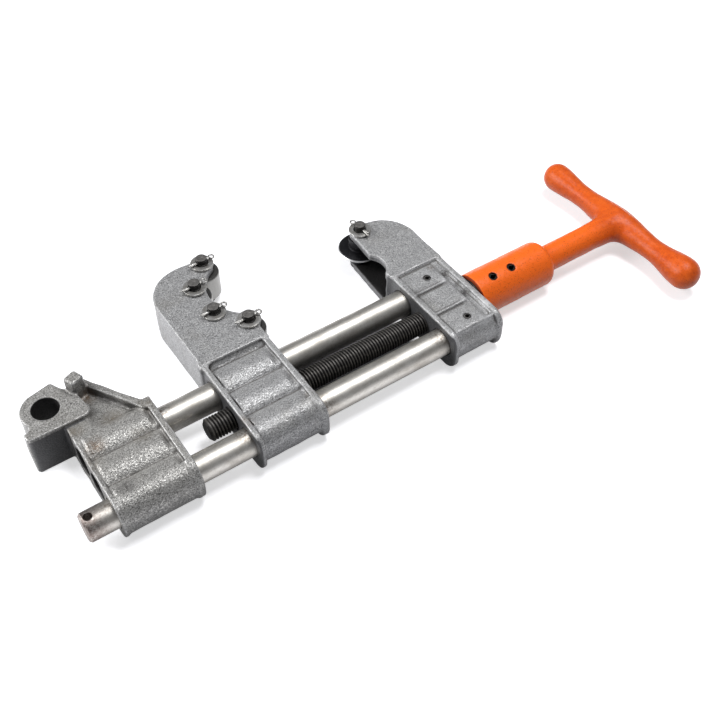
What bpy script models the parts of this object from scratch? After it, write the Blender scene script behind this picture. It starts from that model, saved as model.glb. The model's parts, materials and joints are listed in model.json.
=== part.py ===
"""Hinged pipe cutter attachment for an electric pipe threading machine.

Three castings ride on two guide rods.  The hinge bracket carries the rods,
the roller carriage slides on them, and the wheel frame is pinned to their
ends.  Turning the T-handle turns the feed screw, which draws the carriage
with its four rollers towards the cutter wheel.

Units are metres.  +Z is up and the tool lies flat on z = 0.  While the
pieces are modelled, X is measured from the bracket's inner face towards the
handle, Y from the screw's axis towards the jaws, and Z from the floor.
"""
import math

import bmesh
import bpy
from mathutils import Matrix, Vector

MM = 0.001

# Fits, and how far joined blocks run into each other
RUNNING_GAP = 0.3 * MM
FACE_GAP = 0.3 * MM
OVERLAP = 2.0 * MM

# Heights above the floor
AXIS_HEIGHT = 20.0 * MM
CASTING_TOP = 38.0 * MM

# Guide rods and feed screw
ROD_RADIUS = 11.0 * MM
ROD_SPACING = 52.0 * MM
ROD_CHAMFER = 1.5 * MM
FRONT_ROD_PROTRUSION = 22.0 * MM
REAR_ROD_SEAT = 50.0 * MM
ROD_SEAT_DEPTH = 41.0 * MM
STOP_HOLE_RADIUS = 3.3 * MM
STOP_HOLE_FROM_END = 5.2 * MM
SCREW_RADIUS = 9.0 * MM
SCREW_PROTRUSION = 21.0 * MM
SCREW_CLEARANCE = 1.5 * MM
SCREW_CHAMFER = 2.0 * MM
SHANK_RADIUS = 7.5 * MM
SHANK_IN_HANDLE = 58.0 * MM

# Stations along the rods
BRACKET_LENGTH = 62.0 * MM
BRACKET_GAP = 44.8 * MM
CARRIAGE_LENGTH = 57.5 * MM
THROAT_GAP = 117.0 * MM
FRAME_LENGTH = 48.6 * MM

# Sleeve section shared by the castings
SLEEVE_WALL = 5.5 * MM
SLEEVE_VALLEY_DROP = 4.0 * MM
FLANGE_FRONT = 44.0 * MM
FLANGE_CORNER = 13.0 * MM
FLANGE_THICKNESS = 5.0 * MM
POCKET_DEPTH = 3.5 * MM
PAD_HEIGHT = 1.6 * MM
PAD_HALF_WIDTH = 9.0 * MM
PAD_RIDGE_HALF = 1.3 * MM
PAD_RIDGE_DROP = 1.2 * MM
PAD_STRIP = 8.0 * MM
BRACKET_FRONT = 42.5 * MM
BRACKET_CORNER = 16.5 * MM
BRACKET_END_THICKNESS = 8.0 * MM
BRACKET_BACK = 37.0 * MM
SLEEVE_BACK = 43.5 * MM

# Hinge end of the bracket
HINGE_X = -67.2 * MM
HINGE_Y = 70.0 * MM
HINGE_BORE_RADIUS = 10.2 * MM
HINGE_RADIUS = 18.4 * MM
HINGE_FRONT = 48.5 * MM
HINGE_FOOT_REACH = 22.1 * MM
HINGE_FOOT_CHAMFER = 2.0 * MM
HINGE_RIGHT_REACH = 27.2 * MM
HINGE_CORNER = 7.0 * MM
# Corners of the hinge plate, measured from the bore's axis
HINGE_FOOT_TOP = (-HINGE_FOOT_REACH, -13.8 * MM)
HINGE_STEP = (-17.3 * MM, -12.4 * MM)
HINGE_PEAK = (12.0 * MM, 20.8 * MM)
HINGE_NOTCH = (17.6 * MM, 11.2 * MM)
HINGE_SHOULDER = (24.0 * MM, 4.0 * MM)
NECK_WIDTH = 22.0 * MM
NECK_FLARE = 3.0 * MM
LUG_X = -40.7 * MM
LUG_Y = 77.0 * MM
LUG_HEIGHT = 11.0 * MM
LUG_LENGTH = 11.5 * MM
LUG_WIDTH = 10.5 * MM
LUG_TURN = math.radians(22.0)
RIB_WIDTH = 6.0 * MM
RIB_FOOT_INSET = 6.5 * MM
WEB_DROP = 5.5 * MM
WEB_UNDERCUT = 3.0 * MM
NECK_DROP = 3.5 * MM

# Jaws
PIPE_CENTRE_FROM_FACE = 76.7 * MM
JAW_LINE_Y = 102.4 * MM
ROLLER_CIRCLE = 44.8 * MM
OUTER_ROLLER_ANGLE = math.radians(121.2)
INNER_ROLLER_ANGLE = math.radians(158.9)
ROLLER_RADIUS = 13.2 * MM
ROLLER_LENGTH = 24.0 * MM
ROLLER_CHAMFER = 1.0 * MM
ROLLER_POCKET_CLEARANCE = 2.4 * MM
JAW_TIP_RADIUS = 8.3 * MM
CARRIAGE_BACK_RADIUS = 33.3 * MM
CARRIAGE_BACK_Y = 115.0 * MM
CHEEK_CAVITY = 24.6 * MM
WHEEL_RADIUS = 19.0 * MM
WHEEL_HUB_RADIUS = 9.5 * MM
WHEEL_ROOT_HALF = 3.0 * MM
WHEEL_SHOULDER_HALF = 1.9 * MM
WHEEL_BEVEL_START = 17.0 * MM
WHEEL_X_FROM_FACE = 10.3 * MM
FRAME_BACK_RADIUS = 31.0 * MM
FRAME_BACK_CENTRE_Y = 78.0 * MM
FRAME_STEP_Y = 37.0 * MM
SCALLOP_RADIUS = 15.7 * MM
SCALLOP_DEPTH = 5.3 * MM
SCALLOP_Y = 61.6 * MM
THROAT_LIP = 1.5 * MM
WHEEL_CAVITY_RADIUS = 22.5 * MM
WHEEL_CAVITY_WALL = 12.5 * MM
JAW_FLOOR = 1.5 * MM

# Roller and wheel pins
PIN_RADIUS = 5.0 * MM
PIN_TOP = 45.6 * MM
PIN_CHAMFER = 1.3 * MM
PIN_HEAD_RADIUS = 8.0 * MM
PIN_HEAD_HEIGHT = 3.0 * MM
WASHER_RADIUS = 9.6 * MM
WASHER_THICKNESS = 1.8 * MM
SPLIT_WIRE_RADIUS = 0.7 * MM
SPLIT_LEG_SPACING = 1.5 * MM
SPLIT_HEIGHT = 41.8 * MM
SPLIT_EYE_RADIUS = 2.1 * MM
SPLIT_EYE_REACH = 9.3 * MM
SPLIT_LEG_REACH = 12.5 * MM

# Roll pins
ROLL_PIN_RADIUS = 2.6 * MM
ROLL_PIN_WALL = 0.9 * MM
ROLL_PIN_SLOT = math.radians(50.0)
ROD_PIN_DEPTH = 34.0 * MM
ROD_PIN_RECESS = 2.4 * MM
HANDLE_PIN_RADIUS = 3.0 * MM
HANDLE_PIN_RECESS = 1.2 * MM
HANDLE_PIN_STATIONS = (17.0 * MM, 36.3 * MM)
HANDLE_PIN_TILT = math.radians(15.0)

# Handle
THRUST_WASHER_RADIUS = 17.5 * MM
THRUST_WASHER_THICKNESS = 1.6 * MM
COLLAR_RADIUS = 19.6 * MM
COLLAR_LENGTH = 77.0 * MM
COLLAR_ROUNDING = 6.0 * MM
STEM_RADIUS = 11.5 * MM
STEM_FLARE_RADIUS = 12.6 * MM
STEM_FILLET = 3.0 * MM
STEM_FLARE_START = 36.0 * MM
STEM_FLARE_END = 14.0 * MM
BAR_X = 437.5 * MM
BAR_HALF_SPAN = 78.4 * MM
KNOB_RADIUS = 13.7 * MM
BAR_WAIST_RADIUS = 9.7 * MM
HUB_RADIUS = 13.2 * MM
BAR_WAIST_AT = 0.56

# Facets
ROUND_SEGMENTS = 32
SMALL_SEGMENTS = 18
BAR_STEPS = 8
WIRE_STEPS = 10

# Stations worked out from the sizes above
HALF_SPACING = ROD_SPACING / 2
BRACKET_LEFT = -BRACKET_LENGTH
CARRIAGE_LEFT = BRACKET_GAP
CARRIAGE_RIGHT = CARRIAGE_LEFT + CARRIAGE_LENGTH
FRAME_LEFT = CARRIAGE_RIGHT + THROAT_GAP
FRAME_RIGHT = FRAME_LEFT + FRAME_LENGTH
FRAME_MIDDLE = (FRAME_LEFT + FRAME_RIGHT) / 2
COLLAR_LEFT = FRAME_RIGHT + THRUST_WASHER_THICKNESS + 2 * FACE_GAP
WHEEL_X = FRAME_LEFT + WHEEL_X_FROM_FACE
JAW_MIDDLE = CASTING_TOP / 2
CAVITY_LOW = JAW_MIDDLE - CHEEK_CAVITY / 2
CAVITY_HIGH = JAW_MIDDLE + CHEEK_CAVITY / 2
PIPE_CENTRE_X = CARRIAGE_LEFT + PIPE_CENTRE_FROM_FACE
JAW_FLOOR_Y = SLEEVE_BACK + JAW_FLOOR
SPLIT_HOLE_RADIUS = SPLIT_LEG_SPACING / 2 + SPLIT_WIRE_RADIUS + 0.15 * MM

ROLLER_ANGLES = {
    "a": OUTER_ROLLER_ANGLE,
    "b": INNER_ROLLER_ANGLE,
    "c": -INNER_ROLLER_ANGLE,
    "d": -OUTER_ROLLER_ANGLE,
}


def roller_centre(letter):
    """Rollers stand on one circle about the pipe's axis."""
    angle = ROLLER_ANGLES[letter]
    x = PIPE_CENTRE_X + ROLLER_CIRCLE * math.cos(angle)
    y = JAW_LINE_Y + ROLLER_CIRCLE * math.sin(angle)
    return x, y


# The finished model stands with the middle of its box on the world's origin
X_LOW = HINGE_X - HINGE_FOOT_REACH
X_HIGH = BAR_X + KNOB_RADIUS
Y_LOW = -BAR_HALF_SPAN - KNOB_RADIUS
Y_HIGH = max(CARRIAGE_BACK_Y + CARRIAGE_BACK_RADIUS, roller_centre("a")[1] + ROLLER_RADIUS)
ORIGIN = Vector(((X_LOW + X_HIGH) / 2, (Y_LOW + Y_HIGH) / 2, 0.0))


def place(x, y, z=0.0):
    """World position of a point given in the tool's own coordinates."""
    return Vector((x, y, z)) - ORIGIN


def clear_scene():
    for item in list(bpy.data.objects):
        bpy.data.objects.remove(item, do_unlink=True)


def material(name, colour, roughness, metallic):
    paint = bpy.data.materials.new(name)
    paint.use_nodes = True
    shader = paint.node_tree.nodes["Principled BSDF"]
    shader.inputs["Base Color"].default_value = (*colour, 1.0)
    shader.inputs["Roughness"].default_value = roughness
    shader.inputs["Metallic"].default_value = metallic
    return paint


def solid(name, mesh, location, paint=None):
    """Turn a bmesh into an object with its origin at location."""
    bmesh.ops.remove_doubles(mesh, verts=mesh.verts, dist=1e-6)
    bmesh.ops.recalc_face_normals(mesh, faces=mesh.faces)
    data = bpy.data.meshes.new(name)
    mesh.to_mesh(data)
    mesh.free()
    data.shade_smooth()
    data.set_sharp_from_angle(angle=math.radians(32.0))
    item = bpy.data.objects.new(name, data)
    item.location = location
    bpy.context.scene.collection.objects.link(item)
    if paint is not None:
        data.materials.append(paint)
    return item


def combine(target, tool, operation):
    """Boolean one object into another and keep the result as a plain mesh."""
    cut = target.modifiers.new(tool.name, "BOOLEAN")
    cut.operation = operation
    cut.solver = "EXACT"
    cut.object = tool
    bpy.context.view_layer.update()
    graph = bpy.context.evaluated_depsgraph_get()
    result = bpy.data.meshes.new_from_object(target.evaluated_get(graph))
    clean = bmesh.new()
    clean.from_mesh(result)
    bmesh.ops.remove_doubles(clean, verts=clean.verts, dist=5e-6)
    bmesh.ops.dissolve_degenerate(clean, edges=clean.edges, dist=5e-6)
    clean.to_mesh(result)
    clean.free()
    old = target.data
    target.modifiers.remove(cut)
    target.data = result
    bpy.data.meshes.remove(old)
    bpy.data.objects.remove(tool, do_unlink=True)
    result.shade_smooth()
    result.set_sharp_from_angle(angle=math.radians(32.0))


def unite(target, tool):
    combine(target, tool, "UNION")


def subtract(target, tool):
    combine(target, tool, "DIFFERENCE")


def arc(centre_u, centre_v, radius, start, end, count):
    """Points along an arc, both ends included, angles in degrees."""
    points = []
    for step in range(count + 1):
        angle = math.radians(start + (end - start) * step / count)
        points.append((centre_u + radius * math.cos(angle), centre_v + radius * math.sin(angle)))
    return points


def extruded(outline, axis, low, high):
    """Prism over an outline: (x, y) along Z, (y, z) along X, or (x, z) along Y."""
    def corner(u, v, w):
        if axis == "Z":
            return u, v, w
        if axis == "X":
            return w, u, v
        return u, w, v

    mesh = bmesh.new()
    base = [mesh.verts.new(corner(u, v, low)) for u, v in outline]
    face = mesh.faces.new(base)
    grown = bmesh.ops.extrude_face_region(mesh, geom=[face])
    moved = [item for item in grown["geom"] if isinstance(item, bmesh.types.BMVert)]
    bmesh.ops.translate(mesh, verts=moved, vec=Vector(corner(0.0, 0.0, high - low)))
    return mesh


def turned(profile, axis, segments):
    """Spin a profile of (radius, position) points a full turn about an axis."""
    mesh = bmesh.new()
    points = [mesh.verts.new((radius, 0.0, along)) for radius, along in profile]
    edges = [mesh.edges.new(pair) for pair in zip(points, points[1:])]
    bmesh.ops.spin(
        mesh, geom=points + edges, cent=(0, 0, 0), axis=(0, 0, 1),
        angle=2 * math.pi, steps=segments, use_duplicate=False)
    bmesh.ops.remove_doubles(mesh, verts=mesh.verts, dist=1e-6)
    if axis == "X":
        mesh.transform(Matrix.Rotation(math.pi / 2, 4, "Y"))
    if axis == "Y":
        mesh.transform(Matrix.Rotation(-math.pi / 2, 4, "X"))
    return mesh


def cylinder(radius, low, high, axis, segments=ROUND_SEGMENTS, chamfer=0.0):
    profile = [(0.0, low)]
    if chamfer > 0.0:
        profile += [(radius - chamfer, low), (radius, low + chamfer)]
        profile += [(radius, high - chamfer), (radius - chamfer, high)]
    else:
        profile += [(radius, low), (radius, high)]
    profile.append((0.0, high))
    return turned(profile, axis, segments)


def bore_x(target, radius, low, high, y, segments=ROUND_SEGMENTS):
    tool = cylinder(radius, low, high, "X", segments)
    subtract(target, solid("bore", tool, place(0.0, y, AXIS_HEIGHT)))


def bore_z(target, radius, low, high, x, y, segments=SMALL_SEGMENTS):
    tool = cylinder(radius, low, high, "Z", segments)
    subtract(target, solid("bore", tool, place(x, y)))


def flange_outline(back, front, corner):
    """Flange section in the YZ plane with rounded front corners."""
    centre = corner - front
    outline = [(back, 0.0), (back, CASTING_TOP)]
    outline += arc(centre, CASTING_TOP - corner, corner, 90.0, 180.0, 8)
    outline += arc(centre, corner, corner, 180.0, 270.0, 8)
    return outline


def bulge(centre_y, crest, direction, steps=6):
    """Shallow arc over one passage, running towards -Y."""
    half = HALF_SPACING / 2
    radius = (half ** 2 + SLEEVE_VALLEY_DROP ** 2) / (2 * SLEEVE_VALLEY_DROP)
    reach = math.asin(half / radius)
    points = []
    for step in range(steps + 1):
        angle = reach * (1 - 2 * step / steps)
        y = centre_y + direction * radius * math.sin(angle)
        z = crest - math.copysign(radius * (1 - math.cos(angle)), crest - AXIS_HEIGHT)
        points.append((y, z))
    return points


def sleeve_outline(back):
    """Section through the three passages: bulges above and below, round front."""
    reach = ROD_RADIUS + SLEEVE_WALL
    top = AXIS_HEIGHT + reach
    bottom = CASTING_TOP - top
    valley_top = top - SLEEVE_VALLEY_DROP
    valley_bottom = bottom + SLEEVE_VALLEY_DROP
    outline = [(back, valley_bottom), (back, valley_top)]
    outline += bulge(HALF_SPACING, top, 1)
    outline += bulge(0.0, top, 1)[1:]
    front = -HALF_SPACING
    outline += bulge(front, top, 1)[1:4]
    outline += arc(front, AXIS_HEIGHT, reach, 90.0, 180.0, 8)[1:]
    outline += arc(front, bottom + reach, reach, 180.0, 270.0, 8)
    lower = bulge(front, bottom, -1)[4:]
    lower += bulge(0.0, bottom, -1)[1:]
    lower += bulge(HALF_SPACING, bottom, -1)[1:]
    return outline + lower


def sleeve_casting(name, left, right, section, flange, end_thickness, paint):
    """Ribbed sleeve between two end flanges."""
    middle = extruded(section, "X", left + end_thickness / 2, right - FLANGE_THICKNESS / 2)
    casting = solid(name, middle, place(0.0, 0.0), paint)
    for low, high in ((left, left + end_thickness), (right - FLANGE_THICKNESS, right)):
        unite(casting, solid("flange", extruded(flange, "X", low, high), place(0.0, 0.0)))
    return casting


def block(casting, outline, low, high):
    unite(casting, solid("block", extruded(outline, "Z", low, high), place(0.0, 0.0)))


def pocket(casting, outline, low, high):
    subtract(casting, solid("pocket", extruded(outline, "Z", low, high), place(0.0, 0.0)))


def pin_seats(casting, x, y):
    """Through bore for a pin and a counterbore for its head underneath."""
    bore_z(casting, PIN_RADIUS + RUNNING_GAP, -MM, CASTING_TOP + MM, x, y)
    depth = PIN_HEAD_HEIGHT + FACE_GAP + MM
    bore_z(casting, PIN_HEAD_RADIUS + RUNNING_GAP, -MM, depth, x, y)


def hinge_plate_outline():
    """Foot on the left, round cap about the bore, peak, notch and rounded corner."""
    left = HINGE_X - HINGE_FOOT_REACH
    outline = [(left + HINGE_FOOT_CHAMFER, HINGE_FRONT), (left, HINGE_FRONT + HINGE_FOOT_CHAMFER)]
    outline += [(HINGE_X + u, HINGE_Y + v) for u, v in (HINGE_FOOT_TOP, HINGE_STEP)]
    outline += arc(HINGE_X, HINGE_Y, HINGE_RADIUS, 205.0, 112.0, 12)
    outline += [(HINGE_X + u, HINGE_Y + v) for u, v in (HINGE_PEAK, HINGE_NOTCH, HINGE_SHOULDER)]
    corner_x = HINGE_X + HINGE_RIGHT_REACH - HINGE_CORNER
    outline += arc(corner_x, HINGE_FRONT + HINGE_CORNER, HINGE_CORNER, 30.0, -90.0, 6)
    return outline


def hinge_bracket(paint):
    flange = flange_outline(BRACKET_BACK, BRACKET_FRONT, BRACKET_CORNER)
    casting = sleeve_casting(
        "hinge_bracket", BRACKET_LEFT, 0.0, sleeve_outline(BRACKET_BACK), flange,
        BRACKET_END_THICKNESS, paint)
    neck_right = BRACKET_LEFT + NECK_WIDTH
    inside = BRACKET_BACK - OVERLAP
    neck = [(BRACKET_LEFT, inside), (neck_right, inside),
            (neck_right + NECK_FLARE, HINGE_FRONT + OVERLAP), (BRACKET_LEFT, HINGE_FRONT + OVERLAP)]
    block(casting, neck, 0.0, CASTING_TOP - NECK_DROP)

    rib_foot = -RIB_FOOT_INSET
    web = [(neck_right - OVERLAP, inside), (rib_foot, inside), (LUG_X + LUG_LENGTH / 2, LUG_Y),
           (LUG_X - OVERLAP, LUG_Y - OVERLAP), (neck_right - NECK_FLARE, HINGE_FRONT)]
    block(casting, web, WEB_UNDERCUT, CASTING_TOP - WEB_DROP)

    start = Vector((LUG_X + LUG_LENGTH / 2, LUG_Y + LUG_WIDTH / 3))
    end = Vector((rib_foot, inside))
    side = (end - start).normalized().orthogonal() * (RIB_WIDTH / 2)
    rib = [tuple(start + side), tuple(end + side), tuple(end - side), tuple(start - side)]
    block(casting, rib, 0.0, CASTING_TOP)
    block(casting, hinge_plate_outline(), 0.0, CASTING_TOP)

    lug = []
    for u, v in ((-1, -1), (1, -1), (1, 1), (-1, 1)):
        along = u * LUG_LENGTH / 2
        across = v * LUG_WIDTH / 2
        lug.append((LUG_X + along * math.cos(LUG_TURN) - across * math.sin(LUG_TURN),
                    LUG_Y + along * math.sin(LUG_TURN) + across * math.cos(LUG_TURN)))
    block(casting, lug, WEB_UNDERCUT, CASTING_TOP + LUG_HEIGHT)

    for y in (-HALF_SPACING, HALF_SPACING):
        bore_x(casting, ROD_RADIUS + RUNNING_GAP, BRACKET_LEFT - MM, MM, y)
    bore_x(casting, SCREW_RADIUS + SCREW_CLEARANCE, BRACKET_LEFT - MM, MM, 0.0)
    bore_z(casting, HINGE_BORE_RADIUS, -MM, CASTING_TOP + MM, HINGE_X, HINGE_Y, ROUND_SEGMENTS)
    return casting


def carriage_jaw_outline():
    """Cheek outline: round back, tip about roller a, throat arc, end about roller d."""
    ax, ay = roller_centre("a")
    dx, dy = roller_centre("d")
    floor = SLEEVE_BACK - OVERLAP / 4
    centre_x = CARRIAGE_LEFT + CARRIAGE_BACK_RADIUS
    outline = [(CARRIAGE_LEFT, floor)]
    outline += arc(centre_x, CARRIAGE_BACK_Y, CARRIAGE_BACK_RADIUS, 180.0, 90.0, 14)
    top = CARRIAGE_BACK_Y + CARRIAGE_BACK_RADIUS
    lean = math.degrees(math.asin(min(1.0, (top - ay) / JAW_TIP_RADIUS)))
    facing = math.degrees(OUTER_ROLLER_ANGLE)
    outline += arc(ax, ay, JAW_TIP_RADIUS, lean, facing - 180.0, 10)
    throat = ROLLER_CIRCLE - JAW_TIP_RADIUS
    outline += arc(PIPE_CENTRE_X, JAW_LINE_Y, throat, facing, 360.0 - facing, 16)[1:]
    side = min(1.0, (CARRIAGE_RIGHT - dx) / JAW_TIP_RADIUS)
    outline += arc(dx, dy, JAW_TIP_RADIUS, 180.0 - facing, -math.degrees(math.acos(side)), 6)[1:]
    outline.append((CARRIAGE_RIGHT, floor))
    return outline


def roller_carriage(paint):
    flange = flange_outline(SLEEVE_BACK, FLANGE_FRONT, FLANGE_CORNER)
    casting = sleeve_casting(
        "roller_carriage", CARRIAGE_LEFT, CARRIAGE_RIGHT, sleeve_outline(SLEEVE_BACK), flange,
        FLANGE_THICKNESS, paint)
    block(casting, carriage_jaw_outline(), 0.0, CASTING_TOP)
    reach = ROLLER_CIRCLE + ROLLER_RADIUS + ROLLER_POCKET_CLEARANCE
    angle = math.degrees(math.asin((JAW_LINE_Y - JAW_FLOOR_Y) / reach))
    cavity = arc(PIPE_CENTRE_X, JAW_LINE_Y, reach, 90.0, 180.0 + angle, 24)
    cavity += [(PIPE_CENTRE_X, JAW_FLOOR_Y), (PIPE_CENTRE_X, JAW_LINE_Y + reach)]
    pocket(casting, cavity, CAVITY_LOW, CAVITY_HIGH)
    for y in (-HALF_SPACING, HALF_SPACING):
        bore_x(casting, ROD_RADIUS + RUNNING_GAP, CARRIAGE_LEFT - MM, CARRIAGE_RIGHT + MM, y)
    bore_x(casting, SCREW_RADIUS + RUNNING_GAP, CARRIAGE_LEFT - MM, CARRIAGE_RIGHT + MM, 0.0)
    for letter in ROLLER_ANGLES:
        pin_seats(casting, *roller_centre(letter))
    return casting


def frame_jaw_outline():
    """Cheek outline: lip, tip about the wheel pin, round back."""
    outline = [(FRAME_LEFT + OVERLAP, FRAME_STEP_Y), (FRAME_LEFT - THROAT_LIP, SLEEVE_BACK + OVERLAP)]
    outline += arc(WHEEL_X, JAW_LINE_Y, JAW_TIP_RADIUS, 187.0, 90.0, 10)
    centre_x = FRAME_RIGHT - FRAME_BACK_RADIUS
    outline += arc(centre_x, FRAME_BACK_CENTRE_Y, FRAME_BACK_RADIUS, 84.0, 0.0, 14)
    outline.append((FRAME_RIGHT, FRAME_STEP_Y))
    return outline


def wheel_frame(paint):
    floor = CASTING_TOP - POCKET_DEPTH
    front = FLANGE_CORNER - FLANGE_FRONT + THROAT_LIP
    section = [(SLEEVE_BACK, POCKET_DEPTH), (SLEEVE_BACK, floor)]
    section += arc(front, floor - FLANGE_CORNER, FLANGE_CORNER, 90.0, 180.0, 8)
    section += arc(front, POCKET_DEPTH + FLANGE_CORNER, FLANGE_CORNER, 180.0, 270.0, 8)
    flange = flange_outline(SLEEVE_BACK, FLANGE_FRONT, FLANGE_CORNER)
    casting = sleeve_casting(
        "wheel_frame", FRAME_LEFT, FRAME_RIGHT, section, flange, FLANGE_THICKNESS, paint)
    block(casting, frame_jaw_outline(), 0.0, CASTING_TOP)
    scallop_x = FRAME_LEFT + SCALLOP_DEPTH - SCALLOP_RADIUS
    bore_z(casting, SCALLOP_RADIUS, JAW_MIDDLE, CASTING_TOP + MM, scallop_x, SCALLOP_Y, ROUND_SEGMENTS)

    left = FRAME_LEFT + FLANGE_THICKNESS / 2
    right = FRAME_RIGHT - FLANGE_THICKNESS - PAD_STRIP
    ridge_right = FRAME_RIGHT - FLANGE_THICKNESS / 2
    for y in (-HALF_SPACING / 2, HALF_SPACING / 2):
        low, high = y - PAD_RIDGE_HALF, y + PAD_RIDGE_HALF
        ridge = [(left, low), (ridge_right, low), (ridge_right, high), (left, high)]
        block(casting, ridge, floor - OVERLAP, CASTING_TOP - PAD_RIDGE_DROP)
    for y in (-HALF_SPACING, 0.0, HALF_SPACING):
        low, high = y - PAD_HALF_WIDTH, y + PAD_HALF_WIDTH
        pad = [(left, low), (right, low), (right, high), (left, high)]
        block(casting, pad, floor - OVERLAP, floor + PAD_HEIGHT)

    wall = FRAME_RIGHT - WHEEL_CAVITY_WALL
    open_side = FRAME_LEFT - WHEEL_CAVITY_WALL
    cavity = [(open_side, JAW_FLOOR_Y + OVERLAP), (wall, JAW_FLOOR_Y + OVERLAP)]
    cavity += arc(WHEEL_X, JAW_LINE_Y, WHEEL_CAVITY_RADIUS, 0.0, 90.0, 12)
    cavity += [(open_side, JAW_LINE_Y + WHEEL_CAVITY_RADIUS)]
    pocket(casting, cavity, CAVITY_LOW, CAVITY_HIGH)

    for y in (-HALF_SPACING, HALF_SPACING):
        bore_x(casting, ROD_RADIUS + RUNNING_GAP, FRAME_LEFT - MM, FRAME_LEFT + ROD_SEAT_DEPTH, y)
        bore_z(casting, ROLL_PIN_RADIUS + RUNNING_GAP, CASTING_TOP - ROD_PIN_DEPTH - OVERLAP,
               CASTING_TOP + MM, FRAME_MIDDLE, y)
    bore_x(casting, SHANK_RADIUS + RUNNING_GAP, FRAME_LEFT - MM, FRAME_RIGHT + MM, 0.0)
    pin_seats(casting, WHEEL_X, JAW_LINE_Y)
    return casting


def guide_rod(name, left, y, paint):
    right = FRAME_LEFT + ROD_SEAT_DEPTH - FACE_GAP
    mesh = cylinder(ROD_RADIUS, left, right, "X", chamfer=ROD_CHAMFER)
    rod = solid(name, mesh, place(0.0, y, AXIS_HEIGHT), paint)
    bore_z(rod, ROLL_PIN_RADIUS + RUNNING_GAP, -MM, CASTING_TOP, FRAME_MIDDLE, y)
    return rod


def front_guide_rod(paint):
    left = BRACKET_LEFT - FRONT_ROD_PROTRUSION
    rod = guide_rod("front_guide_rod", left, -HALF_SPACING, paint)
    bore_z(rod, STOP_HOLE_RADIUS, 0.0, CASTING_TOP, left + STOP_HOLE_FROM_END, -HALF_SPACING)
    return rod


def feed_screw(paint):
    left = CARRIAGE_LEFT - SCREW_PROTRUSION
    shoulder = FRAME_LEFT - FACE_GAP
    right = COLLAR_LEFT + SHANK_IN_HANDLE - FACE_GAP
    profile = [(0.0, left), (SCREW_RADIUS - SCREW_CHAMFER, left), (SCREW_RADIUS, left + SCREW_CHAMFER)]
    profile += [(SCREW_RADIUS, shoulder), (SHANK_RADIUS, shoulder)]
    profile += [(SHANK_RADIUS, right - MM), (SHANK_RADIUS - MM, right), (0.0, right)]
    screw = solid("feed_screw", turned(profile, "X", ROUND_SEGMENTS), place(0.0, 0.0, AXIS_HEIGHT), paint)
    for station in HANDLE_PIN_STATIONS:
        handle_pin_hole(screw, COLLAR_LEFT + station)
    return screw


def handle_pin_hole(target, x):
    tool = cylinder(HANDLE_PIN_RADIUS + RUNNING_GAP, -2 * COLLAR_RADIUS, 2 * COLLAR_RADIUS, "Z", SMALL_SEGMENTS)
    tool.transform(Matrix.Rotation(HANDLE_PIN_TILT, 4, "X"))
    subtract(target, solid("bore", tool, place(x, 0.0, AXIS_HEIGHT)))


def bar_radius(share):
    """Radius along half the bar: thick hub, waist, round knob."""
    if share < BAR_WAIST_AT:
        blend = share / BAR_WAIST_AT
        large = HUB_RADIUS
    else:
        blend = (1.0 - share) / (1.0 - BAR_WAIST_AT)
        large = KNOB_RADIUS
    swell = 0.5 + 0.5 * math.cos(math.pi * blend)
    return BAR_WAIST_RADIUS + (large - BAR_WAIST_RADIUS) * swell


def t_handle(paint):
    profile = []
    for step in range(6):
        angle = math.radians(90.0 * step / 6)
        profile.append((KNOB_RADIUS * math.sin(angle), -BAR_HALF_SPAN - KNOB_RADIUS * math.cos(angle)))
    for step in range(-BAR_STEPS, BAR_STEPS + 1):
        share = abs(step) / BAR_STEPS
        profile.append((bar_radius(share), BAR_HALF_SPAN * step / BAR_STEPS))
    for radius, along in reversed(profile[:6]):
        profile.append((radius, -along))
    bar = turned(profile, "Y", SMALL_SEGMENTS)
    handle = solid("t_handle", bar, place(BAR_X, 0.0, AXIS_HEIGHT), paint)

    collar_right = COLLAR_LEFT + COLLAR_LENGTH
    end = collar_right - COLLAR_ROUNDING
    profile = [(0.0, COLLAR_LEFT), (COLLAR_RADIUS - MM, COLLAR_LEFT), (COLLAR_RADIUS, COLLAR_LEFT + MM)]
    for u, v in arc(end, COLLAR_RADIUS - COLLAR_ROUNDING, COLLAR_ROUNDING, 90.0, 10.0, 5):
        profile.append((v, u))
    fillet = STEM_FILLET / 4
    profile += [(STEM_RADIUS + fillet, collar_right + fillet), (STEM_RADIUS, collar_right + STEM_FILLET)]
    profile += [(STEM_RADIUS, BAR_X - STEM_FLARE_START), (STEM_FLARE_RADIUS, BAR_X - STEM_FLARE_END)]
    profile += [(STEM_FLARE_RADIUS, BAR_X), (0.0, BAR_X)]
    unite(handle, solid("stem", turned(profile, "X", ROUND_SEGMENTS), place(0.0, 0.0, AXIS_HEIGHT)))
    bore_x(handle, SHANK_RADIUS + RUNNING_GAP, COLLAR_LEFT - MM, COLLAR_LEFT + SHANK_IN_HANDLE, 0.0)
    for station in HANDLE_PIN_STATIONS:
        handle_pin_hole(handle, COLLAR_LEFT + station)
    return handle


def slotted_tube(radius, low, high):
    """Rolled spring pin: a tube with a slot down one side."""
    half = math.degrees(ROLL_PIN_SLOT) / 2
    outline = arc(0.0, 0.0, radius, half, 360.0 - half, 14)
    outline += arc(0.0, 0.0, radius - ROLL_PIN_WALL, 360.0 - half, half, 14)
    return extruded(outline, "Z", low, high)


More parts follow.
